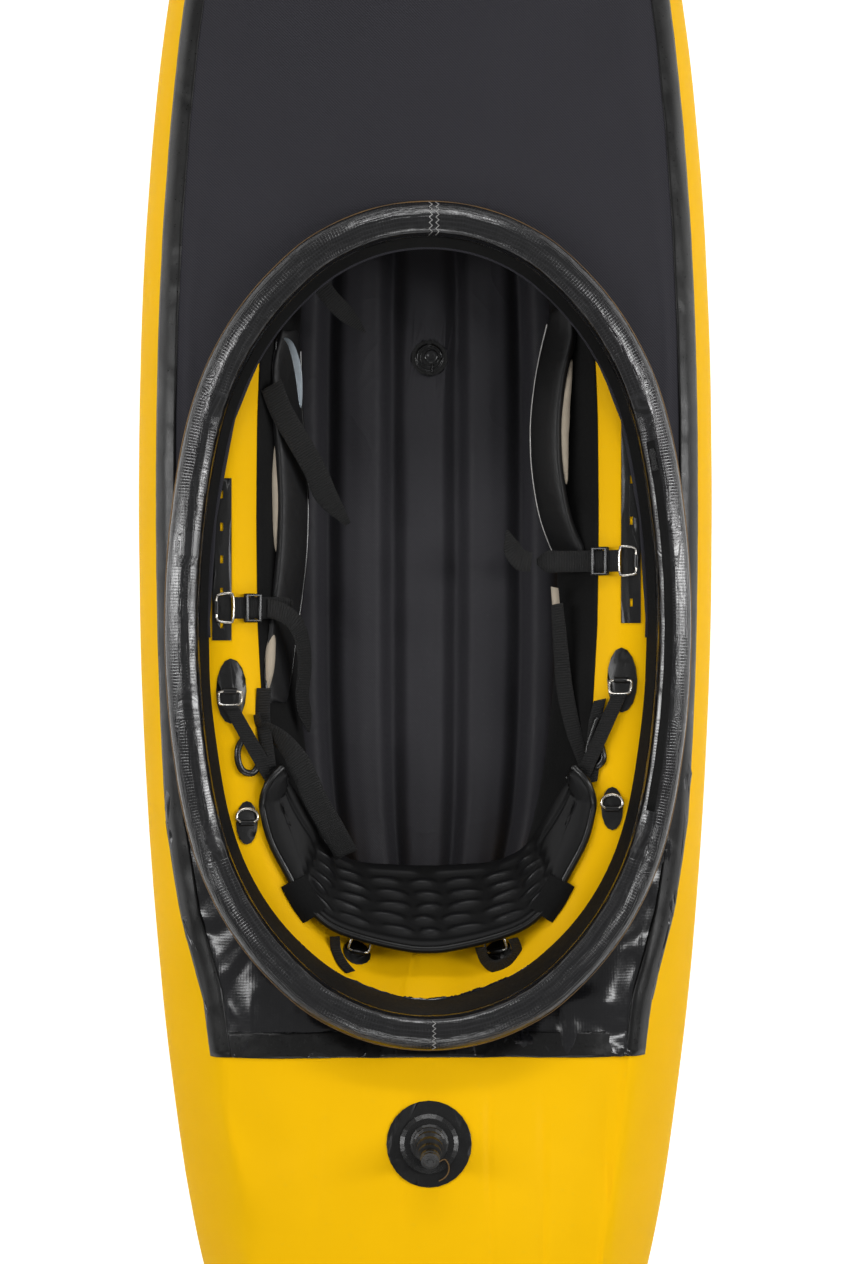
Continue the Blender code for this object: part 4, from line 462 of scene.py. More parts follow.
@once
def tape_cloth():
    """Coated cloth of the decks' tapes and the backband's binding."""
    return coated("tape_cloth", (0.005, 0.005, 0.005), 0.26, 0.40, 8.0, 0.004)


@once
def patch_cloth():
    """Coated cloth of the welded patches."""
    return coated("patch_cloth", (0.004, 0.004, 0.004), 0.30, 0.46, 12.0, 0.002)


@once
def sleeve_cloth():
    """Glossy cloth of the rim with a grid of threads and long scuffed streaks."""
    web = Surface("sleeve_cloth", settings().coaming.colour, 0.24, Specular_IOR_Level=0.7,
                  Coat_Roughness=0.10)
    x, y, _ = web.split(web.flat)
    threads = web.use("ripstop", Vector=web.join(x, y, 0.0), Pitch=0.0042)
    streak = web.noise(web.join(web.times(x, 0.07), y, 0.0), 170.0, 3.0, 0.6, 0.5)
    broken = web.noise(web.join(web.times(x, 0.35), y, 0.0), 240.0, 2.0, 0.6, 0.8)
    folds = web.noise(web.join(x, web.times(y, 1.6), 0.0), 26.0, 2.0, 0.5, 1.0)
    rough = web.span(streak, 0.35, 0.65, 0.11, 0.24)
    fine = web.bump(threads["Height"], 0.30, 0.0004)
    fine = web.bump(streak, 0.45, 0.0018, fine)
    return web.done(web.blend(threads["Line"], web.shade(0.35), web.shade(1.2)),
                    web.plus(rough, web.times(threads["Line"], 0.05)),
                    web.bump(folds, 0.16, 0.004, fine), web.span(broken, 0.45, 0.60, 0.0, 0.35))


@once
def matte_cloth():
    """Plain matte black cloth of the liners and the rim's inner wall."""
    web = Surface("matte_cloth", (0.006, 0.006, 0.006), 0.8, Specular_IOR_Level=0.12,
                  Sheen_Weight=0.02)
    fine = web.grain(620.0, 1.0, 0.25, 0.0004)
    return web.varied(6.0, 0.7, 1.5, 0.7, 0.88, web.creased(12.0, 1.0, 0.4, 0.004, fine))


@once
def mat_cloth():
    """Satin cloth of the floor mat, with a fine grid of threads."""
    web = Surface("mat_cloth", settings().floor.colour, 0.6, Specular_IOR_Level=0.25,
                  Sheen_Weight=0.03)
    weave = web.use("twill", Vector=web.place, Pitch=0.0036)
    tone = web.tone(5.0)
    threads = web.blend(weave["Height"], web.shade(0.7), web.shade(1.3))
    base = web.blend(web.times(tone["Slow"], 0.6), threads, web.shade(0.85))
    fine = web.bump(weave["Height"], 0.25, 0.0003)
    return web.done(web.dusted(base, tone, 0.08), web.span(tone["Fine"], 0.2, 0.8, 0.50, 0.68),
                    web.creased(9.0, 0.8, 0.18, 0.004, fine, "Height"))


@once
def webbing():
    """Black webbing with cross ribs and a woven edge, on the strap's own map in metres."""
    web = Surface("webbing", settings().gear.colour, 0.6, Specular_IOR_Level=0.3,
                  Sheen_Weight=0.03)
    x, y, _ = web.split(web.flat)
    ribs = web.math("ABSOLUTE", web.wave(x, math.pi / settings().gear.rib_pitch))
    fine = web.use("plain_weave", Vector=web.join(x, y, 0.0), Pitch=0.0009)
    tone = web.tone(9.0)
    height = web.plus(web.times(ribs, 0.7), web.times(fine["Height"], 0.3))
    base = web.blend(height, web.shade(0.25), web.shade(2.4))
    return web.done(web.dusted(base, tone, 0.08), web.span(tone["Fine"], 0.2, 0.8, 0.45, 0.7),
                    web.bump(height, 0.9, 0.0014))


@once
def pad_cover():
    """Smooth black cover of the padded pieces."""
    web = Surface("pad_cover", (0.005, 0.005, 0.0055), 0.5, Specular_IOR_Level=0.3,
                  Sheen_Weight=0.02)
    fine = web.grain(900.0, 1.0, 0.2, 0.0003)
    return web.varied(8.0, 0.7, 1.6, 0.36, 0.58, web.creased(22.0, 0.8, 0.35, 0.003, fine))


@once
def band_cover():
    """Satin cover of the backband, painted paler where its cells stand up and darker in the valleys
    between them: painted light and painted shade.
    """
    web = Surface("band_cover", (0.0040, 0.0040, 0.0045), 0.4, Specular_IOR_Level=0.28)
    crest = web.node("ShaderNodeAttribute", attribute_name="crest").outputs["Fac"]
    # Colour by each cell's height: paler on the crests is painted light, darker in the valleys is
    # painted shade
    wear_and_painted_light = web.blend(web.span(crest, 0.25, 1.0), web.shade(0.25), web.shade(2.0))
    base = web.blend(web.times(web.tone(8.0)["Slow"], 0.5), wear_and_painted_light, web.shade(0.7))
    fine = web.grain(900.0, 1.0, 0.2, 0.0003)
    return web.done(base, web.span(crest, 0.1, 0.9, 0.75, 0.38),
                    web.creased(24.0, 0.8, 0.35, 0.003, fine))


def moulded(name, colour, low, high):
    """Maker of a moulded plastic, rubber or thread with fine scuffs."""
    def maker():
        web = Surface(name, colour, low, Specular_IOR_Level=0.5)
        scuff = web.noise(web.place, 160.0, 5.0, 0.7, 1.0)
        wear_and_painted_light = web.span(scuff, 0.56, 0.72, 0.0, 0.5)
        return web.done(web.blend(wear_and_painted_light, web.shade(0.9), web.shade(3.2)),
                        web.span(web.tone(20.0)["Fine"], 0.2, 0.8, low, high),
                        web.bump(scuff, 0.15, 0.0004))

    return once(maker)


plastic = moulded("moulded_plastic", (0.006, 0.006, 0.006), 0.20, 0.36)
rubber_gloss = moulded("valve_gloss", (0.012, 0.012, 0.013), 0.12, 0.26)
rubber = moulded("valve_rubber", (0.007, 0.007, 0.007), 0.30, 0.46)
webbing_thread = moulded("sewing_thread", (0.020, 0.020, 0.020), 0.5, 0.7)
pale_thread = moulded("pale_thread", (0.42, 0.41, 0.40), 0.5, 0.7)
piping_gloss = moulded("piping_gloss", (0.010, 0.010, 0.010), 0.10, 0.22)
# A pale cord that stands in for the highlight along the right thigh pad's inner piping: a painted
# highlight
piping_white = moulded("piping_white", (0.50, 0.49, 0.47), 0.3, 0.5)


@once
def ring_metal():
    """Bright steel wire with fine draw marks."""
    web = Surface("ring_metal", (0.66, 0.63, 0.58), 0.22, Metallic=1.0)
    marks = web.noise(web.place, 700.0, 2.0, 0.6)
    base = web.blend(web.tone(40.0)["Slow"], (0.55, 0.50, 0.42, 1), (0.78, 0.76, 0.72, 1))
    return web.done(base, web.span(marks, 0.3, 0.7, 0.16, 0.34), web.bump(marks, 0.1, 0.0002))


@once
def piping_cord():
    """Thin cord with a fine grain."""
    web = Surface("piping_cord", settings().coaming.piping, 0.6)
    return web.varied(10.0, 0.5, 1.2, 0.5, 0.7, web.grain(500.0, 2.0, 0.4, 0.0004))


@once
def clear_film():
    """Clear glossy film, a little milky."""
    web = Surface("clear_film", (0.55, 0.62, 0.68), 0.08, Transmission_Weight=0.55)
    return web.varied(30.0, 0.8, 1.2, 0.05, 0.14)


@once
def foam():
    """Beige foam that shows through the thigh pads."""
    web = Surface("foam", settings().gear.foam, 0.9)
    return web.varied(14.0, 0.75, 1.15, 0.82, 0.95, web.grain(420.0, 2.0, 0.4, 0.0006, 0.6))


# Mesh building


def merged(node):
    """A merged copy of a CAD node's triangles."""
    shape = bmesh.new()
    shape.from_mesh(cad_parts[node].data)
    bmesh.ops.remove_doubles(shape, verts=shape.verts, dist=MERGE)
    shape.normal_update()
    return shape


def keep_side(shape, score, joins):
    """Deletes all but the faces that join the best one over edges that may be crossed."""
    found = {max(shape.faces, key=score)}
    waiting = list(found)
    while waiting:
        for edge in waiting.pop().edges:
            for face in edge.link_faces:
                if face not in found and joins(edge, face):
                    found.add(face)
                    waiting.append(face)
    rest = [face for face in shape.faces if face not in found]
    bmesh.ops.delete(shape, geom=rest, context="FACES")
    return shape


def side_of(node, score):
    """One side of a sheet or skin: the faces that join the best one without a sharp edge."""
    return keep_side(merged(node), score, lambda edge, face: (
        len(edge.link_faces) == 2 and edge.calc_face_angle(0.0) <= SHARP_ANGLE))


def upward(face):
    return face.normal.z * face.calc_area()


def topmost(face):
    return face.calc_center_median().z if face.normal.z > 0.5 else 0.0


def quads(shape):
    """Joins pairs of triangles, where they make a fair quad."""
    bmesh.ops.join_triangles(shape, faces=shape.faces, angle_face_threshold=0.9,
                             angle_shape_threshold=0.9)
    return shape


def evaluated(item):
    bpy.context.view_layer.update()
    graph = bpy.context.evaluated_depsgraph_get()
    return bpy.data.meshes.new_from_object(item.evaluated_get(graph))


def subdivided(shape, levels, kind, rounds=0):
    """A subdivided mesh. With rounds, it is smooth and still passes through the given points."""
    mesh = bpy.data.meshes.new("work")
    shape.to_mesh(mesh)
    item = bpy.data.objects.new("work", mesh)
    bpy.context.scene.collection.objects.link(item)
    step = item.modifiers.new("subdivide", "SUBSURF")
    step.subdivision_type = kind
    step.levels = levels
    step.render_levels = levels
    step.boundary_smooth = "PRESERVE_CORNERS"
    wanted = [vert.co.copy() for vert in mesh.vertices]
    for _ in range(rounds):
        now = evaluated(item)
        for vert, target, reached in zip(mesh.vertices, wanted, now.vertices):
            vert.co += target - reached.co
        bpy.data.meshes.remove(now)
    made = evaluated(item)
    bpy.data.objects.remove(item)
    bpy.data.meshes.remove(mesh)
    return made


def smoothed(node, levels, rounds):
    """A CAD node as a smooth body through its own points."""
    return from_mesh(subdivided(quads(merged(node)), levels, "CATMULL_CLARK", rounds))


def simple(node, levels):
    """A CAD node with more faces and the same shape."""
    return from_mesh(subdivided(merged(node), levels, "SIMPLE"))


def from_mesh(mesh):
    shape = bmesh.new()
    shape.from_mesh(mesh)
    bpy.data.meshes.remove(mesh)
    return shape


def tree_of(shape):
    return BVHTree.FromBMesh(shape)


def piece(name, shape, finish, body="hull", nodes=(), sharp=None):
    """A finished piece that rides on a body and stands for CAD nodes."""
    mesh = bpy.data.meshes.new(name)
    shape.to_mesh(mesh)
    shape.free()
    for face in mesh.polygons:
        face.use_smooth = True
    if sharp:
        mesh.set_sharp_from_angle(angle=sharp)
    mesh.materials.append(finish)
    item = bpy.data.objects.new(name, mesh)
    bpy.context.scene.collection.objects.link(item)
    if body:
        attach(item, body)
    if nodes:
        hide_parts(*nodes)
    return item


def thicken(item, thickness, offset=-1.0):
    """Gives a sheet a thickness below its face, or with no offset about it."""
    step = item.modifiers.new("thickness", "SOLIDIFY")
    step.thickness = thickness
    step.offset = offset


def bevelled(item, width):
    step = item.modifiers.new("round_edges", "BEVEL")
    step.width = width
    step.segments = 3
    step.limit_method = "ANGLE"
    step.angle_limit = math.radians(38)


def swept(frames, sides):
    """A closed body through unit circles that the frames place and stretch."""
    shape = bmesh.new()
    bmesh.ops.create_circle(shape, segments=sides, radius=1.0, matrix=frames[0])
    edges = list(shape.edges)
    for before, after in zip(frames, frames[1:]):
        made = bmesh.ops.extrude_edge_only(shape, edges=edges)["geom"]
        ring = [part for part in made if isinstance(part, bmesh.types.BMVert)]
        bmesh.ops.transform(shape, matrix=after @ before.inverted(), verts=ring)
        edges = [part for part in made if isinstance(part, bmesh.types.BMEdge)
                 and all(vert in ring for vert in part.verts)]
    fill_holes(shape)
    bmesh.ops.recalc_face_normals(shape, faces=shape.faces)
    return shape


def frame_of(place, wide, along, tall):
    """A frame with its width along one vector and its height square to that and the line."""
    out = along.cross(wide).normalized() * tall
    made = Matrix((wide, out, along.normalized())).transposed().to_4x4()
    made.translation = place
    return made


def directions(points):
    """The way a line runs at each of its points."""
    ahead, behind = points[1:] + points[-1:], points[:1] + points[:-1]
    return [(there - here).normalized() for there, here in zip(ahead, behind)]


def cord_shape(places, radius, steps=5, sides=10, flat=1.0):
    """A round or flattened body along a smooth line through places."""
    points = spline_points([Vector(place) for place in places], steps)
    frames = []
    for point, along in zip(points, directions(points)):
        wide = UP.cross(along)
        if wide.length < 0.05:
            wide = Vector((1, 0, 0)).cross(along)
        frames.append(frame_of(point, wide.normalized() * radius, along, radius * flat))
    return swept(frames, sides)


def lens_shape(places, wide, tall):
    """A long padded body that tapers to both of its ends."""
    points = spline_points([Vector(place) for place in places], 5)
    frames = []
    for k, (point, along) in enumerate(zip(points, directions(points))):
        share = (k + 0.15) / (len(points) - 0.7)
        swell = max(math.sin(math.pi * share), 0.02) ** 0.6
        across = UP.cross(along).normalized()
        frames.append(frame_of(point, across * wide * swell, along, tall * swell))
    return swept(frames, LENS_SIDES)


def smooth_step(share):
    share = min(max(share, 0.0), 1.0)
    return share * share * (3 - 2 * share)


class Hull:
    """Search trees of the CAD hull and of the smooth hull, and places moved by them."""

    plain = None
    smooth = None
    # A place this far behind the smooth hull counts as inside it
    INSIDE = -0.004

    @classmethod
    def prepare(cls):
        """Keeps a tree of the CAD hull, and gives the smooth hull's shape."""
        shape = quads(side_of("hull_skin", topmost))
        fill_holes(shape)
        cls.plain = tree_of(shape)
        mesh = subdivided(shape, 3, "CATMULL_CLARK", rounds=5)
        shape.free()
        return from_mesh(mesh)

    @classmethod
    def seat(cls, place):
        """The place as far from the smooth hull as it was from the CAD's, and that distance."""
        distance = cls.plain.find_nearest(place)[3]
        near, normal, _, _ = cls.smooth.find_nearest(place)
        side = 1 if (place - near).dot(normal) > cls.INSIDE else -1
        return near + normal * distance * side, distance

    @classmethod
    def clear(cls, place, clearance):
        """The place, moved out of the hull's wall where it is nearer than the clearance."""
        near, normal, _, _ = cls.smooth.find_nearest(place)
        height = (place - near).dot(normal)
        return place + normal * max(clearance - height, 0.0)

    @classmethod
    def wall(cls, side, y, z):
        """The inner side of a tube at a height, and its normal."""
        spot, normal, _, _ = cls.smooth.ray_cast(Vector((0, y, z)), Vector((side, 0, 0)))
        return spot, normal


def fill_holes(shape):
    """Closes every opening of a shape."""
    rims = [edge for edge in shape.edges if len(edge.link_faces) == 1]
    if rims:
        bmesh.ops.holes_fill(shape, edges=rims, sides=0)


# Points of a sheet nearer to the hull than SHEET_SEATED lie on it, and over SHEET_FREE more
# metres they leave it
SHEET_SEATED = 0.012
SHEET_FREE = 0.03


def on_hull(shape, levels, smooth_far=True):
    """A sheet that lies on the smooth hull where the CAD's sheet lies on the CAD hull."""
    flat = subdivided(shape, levels, "SIMPLE")
    far = subdivided(shape, levels, "CATMULL_CLARK", rounds=4) if smooth_far else None
    shape.free()
    for k, vert in enumerate(flat.vertices):
        seated, distance = Hull.seat(vert.co)
        share = 1 - smooth_step((distance - SHEET_SEATED) / SHEET_FREE)
        other = far.vertices[k].co if far else vert.co
        vert.co = other.lerp(seated, share)
    if far:
        bpy.data.meshes.remove(far)
    return from_mesh(flat)


# Operators


class RAFT_OT_stage(bpy.types.Operator):
    """Make the camera, the lights and the pale floor with its far wall"""

    bl_idname = "raft.stage"
    bl_label = "Stage"

    # The floor's far wall, the reach over which its glow grows, and the glow at both ends
    WALL = 12.0
    GLOW_REACH = (1.8, 5.0)
    GLOW = (0.60, 0.82)
    WORLD = 0.27
    # Lamps: place, aim, size and watts
    LAMPS = {
        "soft_left": ((-2.6, 0.1, 2.3), (0, -0.1, 0.1), (0.5, 3.0), 51),
        "soft_right": ((2.6, 0.1, 2.4), (0, -0.1, 0.1), (0.5, 3.0), 62),
        "soft_bow": ((0.0, 3.2, 2.8), (0, 0.0, 0.1), (2.4, 0.6), 42),
        "soft_stern": ((0.0, -3.4, 2.8), (0, -0.2, 0.1), (2.4, 0.6), 22),
    }

    def execute(self, context):
        scene = context.scene
        scene.view_settings.view_transform = "Standard"
        self.camera(scene)
        for name, lamp in self.LAMPS.items():
            self.area(scene, name, *lamp)
        self.floor(scene)
        self.world(scene)
        return {"FINISHED"}

    def camera(self, scene):
        data = bpy.data.cameras.new("view")
        lean = math.atan(CAMERA_LEAN)
        distance = CAMERA_HEIGHT / math.cos(lean)
        data.sensor_fit = "HORIZONTAL"
        data.sensor_width = 36.0
        data.lens = distance / PIXEL * data.sensor_width / FRAME_WIDTH
        data.clip_end = 30.0
        view = bpy.data.objects.new("view", data)
        scene.collection.objects.link(view)
        view.location = AIM + Vector((-math.sin(lean), 0.0, math.cos(lean))) * distance
        view.rotation_euler = (0.0, -lean, 0.0)
        scene.camera = view

    def area(self, scene, name, place, aim, size, energy):
        data = bpy.data.lights.new(name, "AREA")
        data.shape = "RECTANGLE"
        data.size, data.size_y = size
        data.energy = energy
        lamp = bpy.data.objects.new(name, data)
        scene.collection.objects.link(lamp)
        lamp.location = place
        lamp.rotation_euler = (Vector(aim) - Vector(place)).to_track_quat("-Z", "Y").to_euler()

    def floor(self, scene):
        shape = bmesh.new()
        bmesh.ops.create_grid(shape, x_segments=4, y_segments=4, size=FLOOR_REACH)
        edges = [edge for edge in shape.edges if len(edge.link_faces) == 1]
        wall = bmesh.ops.extrude_edge_only(shape, edges=edges)["geom"]
        raised = [part for part in wall if isinstance(part, bmesh.types.BMVert)]
        bmesh.ops.translate(shape, vec=UP * self.WALL, verts=raised)
        mesh = bpy.data.meshes.new("floor")
        shape.to_mesh(mesh)
        shape.free()
        ground = bpy.data.objects.new("floor", mesh)
        scene.collection.objects.link(ground)
        web = Surface("floor_paper", (0.86, 0.86, 0.86), 0.9, Specular_IOR_Level=0.1)
        tone = web.blend(web.noise(web.place, 3.0, 2.0), (0.85, 0.85, 0.85, 1),
                         (0.88, 0.88, 0.88, 1))
        web.feed(web.shader.inputs["Base Color"], tone)
        path = web.node("ShaderNodeLightPath").outputs
        seen = web.math("MAXIMUM", path["Is Camera Ray"], path["Is Glossy Ray"])
        seen = web.math("MAXIMUM", seen, path["Is Transmission Ray"])
        glow = web.node("ShaderNodeEmission")
        glow.inputs["Color"].default_value = (1, 1, 1, 1)
        white = web.span(web.length(web.place), *self.GLOW_REACH, *self.GLOW)
        web.feed(glow.inputs["Strength"], web.times(seen, white))
        both = web.node("ShaderNodeAddShader")
        web.feed(both.inputs[0], web.shader.outputs[0])
        web.feed(both.inputs[1], glow.outputs[0])
        web.feed(web.tree.nodes["Material Output"].inputs["Surface"], both.outputs[0])
        mesh.materials.append(web.made)
        ground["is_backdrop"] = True

    def world(self, scene):
        world = bpy.data.worlds.new("studio")
        scene.world = world
        world.use_nodes = True
        ground = world.node_tree.nodes["Background"]
        ground.inputs["Color"].default_value = (1, 1, 1, 1)
        ground.inputs["Strength"].default_value = self.WORLD


class RAFT_OT_hull(bpy.types.Operator):
    """Inflate the tubes"""

    bl_idname = "raft.hull"
    bl_label = "Tubes"

    # Across the stern, with the width and sway of each groove, and where they start
    FOLD_LINES = (-0.150, -0.036, 0.082, 0.156, 0.244)
    FOLD_WIDTH = 0.0045
    FOLD_SWAY = 0.004
    FOLDS_FROM = -0.76
    UNEVEN = 0.0008

    def execute(self, context):
        shape = Hull.prepare()
        Hull.smooth = tree_of(shape)
        depth = settings().hull.wrinkle
        for vert in shape.verts:
            vert.co += vert.normal * self.relief(vert.co, vert.normal, depth)
        item = piece("tube_skin", shape, tube_fabric(), nodes=["hull_skin"])
        return {"FINISHED"}

    def relief(self, place, normal, depth):
        """Shallow grooves over the stern, and slow unevenness everywhere."""
        stern = smooth_step((self.FOLDS_FROM - place.y) / 0.08)
        stern *= smooth_step((normal.z - 0.2) / 0.4)
        groove = 0.0
        for x in self.FOLD_LINES:
            wander = x + self.FOLD_SWAY * noise.noise(Vector((x * 9, place.y * 6, 0)))
            groove += math.exp(-(((place.x - wander) / self.FOLD_WIDTH) ** 2))
        slow = min(noise.noise(place * 7), 0.0) * self.UNEVEN
        return slow - stern * depth * groove


class RAFT_OT_floor(bpy.types.Operator):
    """Make the floor skin and the ribbed mat"""

    bl_idname = "raft.floor"
    bl_label = "Floor and mat"

    PUCKER = 0.0012

    def execute(self, context):
        skin = piece("floor_sheet", simple("floor_skin", 1), mat_cloth(),
                     nodes=["floor_skin"])
        shape = smoothed("floor_mat", 3, 4)
        for vert in shape.verts:
            if vert.normal.z > 0:
                vert.co.z += self.pucker(vert.co)
        mat = piece("mat", shape, mat_cloth(), nodes=["floor_mat"])
        return {"FINISHED"}

    def pucker(self, place):
        return self.PUCKER * noise.noise(Vector((place.x * 30, place.y * 12, 1.3)))


class RAFT_OT_decks(bpy.types.Operator):
    """Stretch the decks, and tape their edges"""

    bl_idname = "raft.decks"
    bl_label = "Decks"

    DECK_CLOTH = 0.0012
    TAPE = 0.0010
    TAPE_UNEVEN = 0.0004
    # How far the rear deck's inner edge is drawn out under the rim, and its rounds of smoothing
    TUCK = 0.007
    ROUNDS = 24

    def execute(self, context):
        front = on_hull(quads(side_of("deck_front", upward)), 2)
        self.rest(front)
        item = piece("front_deck", front, deck_cloth(), nodes=["deck_front"])
        thicken(item, self.DECK_CLOTH)
        rear = on_hull(quads(side_of("deck_rear", upward)), 3)
        depth = settings().deck.crease
        inside = [vert for vert in rear.verts if not vert.is_boundary]
        for _ in range(self.ROUNDS):
            bmesh.ops.smooth_vert(rear, verts=inside, factor=0.5, use_axis_z=True)
        rear.normal_update()
        for vert in rear.verts:
            vert.co += vert.normal * self.wrinkle(vert.co, depth)
            out, oval = from_rim(vert.co)
            vert.co += out.normalized() * self.TUCK * smooth_step((1.0 - oval) / 0.05)
        self.rest(rear)
        item = piece("rear_deck", rear, rear_cloth(), nodes=["deck_rear"])
        thicken(item, self.DECK_CLOTH)
        for name in ("deck_tape_left", "deck_tape_right", "deck_hem_tape"):
            shape = on_hull(quads(side_of(name, upward)), 3, smooth_far=False)
            for vert in shape.verts:
                vert.co += vert.normal * self.TAPE_UNEVEN * (noise.noise(vert.co * 60) + 1)
            item = piece(name + "_cloth", shape, tape_cloth(), nodes=[name])
            thicken(item, self.TAPE)
        return {"FINISHED"}

    def rest(self, shape):
        """Keeps a deck's cloth above the tubes."""
        for vert in shape.verts:
            vert.co = Hull.clear(vert.co, self.DECK_CLOTH * 1.6)

    def wrinkle(self, place, depth):
        """Folds that run out from the rim, and fade toward the opening."""
        out, oval = from_rim(place)
        angle = math.atan2(out.y, out.x)
        ridge = noise.noise(Vector((angle * 11, out.length * 6, 2.0)))
        fold = math.exp(-((noise.noise(Vector((angle * 7, out.length * 9, 7.0))) / 0.05) ** 2))
        cross = noise.noise(Vector((place.x * 22, place.y * 30, 4.0)))
        free = smooth_step((oval - 0.98) / 0.10)
        return depth * (0.30 * max(ridge, -0.2) + 0.25 * cross + 0.55 * fold) * free


def from_rim(place):
    """The level vector from the cockpit's middle, and its share of the rim's oval."""
    out = Vector((place.x, place.y, 0)) - COAMING_CENTRE
    return out, math.hypot(out.x / RIM_HALF_WIDTH, out.y / RIM_HALF_LENGTH)


class RAFT_OT_coaming(bpy.types.Operator):
    """Make the glossy rim, its inner wall, piping and zip"""

    bl_idname = "raft.coaming"
    bl_label = "Coaming"

    def execute(self, context):
        line = ring_line("coaming_hoop")
        shape = smoothed("coaming_sleeve", 2, 3)
        ring_map(shape, line)
        depth = settings().coaming.crease
        flat = shape.loops.layers.uv["UVMap"]
        for vert in shape.verts:
            run, turn = vert.link_loops[0][flat].uv
            wave = noise.noise(Vector((run * 34, turn * 14, 0.5)))
            vert.co += vert.normal * depth * (0.5 + wave) * 0.5
        sleeve = piece("rim_sleeve", shape, sleeve_cloth(), nodes=["coaming_sleeve"])
        wall = piece("rim_wall", smoothed("coaming_wall", 2, 3), matte_cloth(),
                     nodes=["coaming_wall"])
        piece("rim_piping", smoothed("coaming_piping", 2, 3), piping_cord(),
              nodes=["coaming_piping"])
        piece("rim_hoop", smoothed("coaming_hoop", 1, 2), plastic(), nodes=["coaming_hoop"])
        shape = from_mesh(subdivided(quads(merged("zip_tape")), 2, "SIMPLE"))
        tape = piece("zip_cloth", shape, matte_cloth(), nodes=["zip_tape"])
        return {"FINISHED"}


# Degrees between the points of a ring's middle line, and the radius of its section
RING_STEP = 3.75
RING_RADIUS = 0.02


def ring_line(node):
    """The middle line of a closed ring, in order round the cockpit."""
    shape = merged(node)
    marks = {}
    for vert in shape.verts:
        out = vert.co - COAMING_CENTRE
        key = round(math.degrees(math.atan2(out.y, out.x)) / RING_STEP)
        marks.setdefault(key, []).append(vert.co.copy())
    shape.free()
    return [sum(marks[key], Vector()) / len(marks[key]) for key in sorted(marks)]


def ring_map(shape, line):
    """A map in metres: how far round the ring, and how far round its section."""
    reach = [0.0]
    for a, b in zip(line, line[1:] + line[:1]):
        reach.append(reach[-1] + (b - a).length)
    flat = shape.loops.layers.uv.get("UVMap") or shape.loops.layers.uv.new("UVMap")
    for face in shape.faces:
        found = [ring_place(loop.vert.co, line, reach) for loop in face.loops]
        first = found[0][0]
        for loop, (run, turn) in zip(face.loops, found):
            if run - first > reach[-1] / 2:
                run -= reach[-1]
            if first - run > reach[-1] / 2:
                run += reach[-1]
            loop[flat].uv = (run, turn)


def ring_place(place, line, reach):
    """How far round the ring a place is, and how far round the ring's section."""
    count = len(line)
    k = min(range(count), key=lambda n: (line[n] - place).length_squared)
    best = None
    for n in (k - 1, k):
        a, b = line[n % count], line[(n + 1) % count]
        share = max(0.0, min(1.0, (place - a).dot(b - a) / (b - a).length_squared))
        on = a.lerp(b, share)
        off = (place - on).length
        if best is None or off < best[0]:
            best = (off, reach[n % count] + share * (b - a).length, on, (b - a).normalized())
    _, run, on, along = best
    out = place - on
    side = Vector((on.x, on.y, 0)) - COAMING_CENTRE
    radial = Vector((along.y, -along.x, 0)).normalized()
    if radial.dot(side) < 0:
        radial.negate()
    return run, math.atan2(out.z, out.dot(radial)) * RING_RADIUS


class RAFT_OT_liners(bpy.types.Operator):
    """Hang the black liners on the inner sides"""

    bl_idname = "raft.liners"
    bl_label = "Liners"

    # Aft of FROM the liners are drawn out by REACH, so that they end behind the backband
    FROM = -0.33
    REACH = 0.06
    ABOVE_HULL = 0.0025
    CLOTH = 0.001

    def execute(self, context):
        for name, side in SIDES:
            shape = on_hull(quads(side_of("liner_" + name, lambda face: -side * face.normal.x)), 3,
                            smooth_far=False)
            for vert in shape.verts:
                shift = self.REACH * smooth_step((self.FROM - vert.co.y) / 0.05)
                height = (vert.co - Hull.smooth.find_nearest(vert.co)[0]).length
                vert.co = Hull.clear(vert.co - Vector((0, shift, 0)), min(height, self.ABOVE_HULL))
            item = piece("liner_cloth_" + name, shape, matte_cloth(), nodes=["liner_" + name])
            thicken(item, self.CLOTH)
        return {"FINISHED"}


class RAFT_OT_patches(bpy.types.Operator):
    """Weld the patches and anchor strips to the tubes"""

    bl_idname = "raft.patches"
    bl_label = "Patches"

    # Points nearer to the hull than SEATED lie on it, and over FREE more metres they leave it
    SEATED = 0.003
    FREE = 0.006

    def execute(self, context):
        names = ["rear_valve_patch", "anchor_strip_left", "anchor_strip_right"]
        for kind in ("hip_patch", "rear_side_patch", "stern_patch"):
            names += [kind + "_left", kind + "_right"]
        for name in names:
            shape = simple(name, 1)
            for vert in shape.verts:
                seated, distance = Hull.seat(vert.co)
                share = 1 - smooth_step((distance - self.SEATED) / self.FREE)
                vert.co = vert.co.lerp(seated, share)
            piece(name + "_cloth", shape, patch_cloth(), nodes=[name],
                  sharp=0.6)
        return {"FINISHED"}


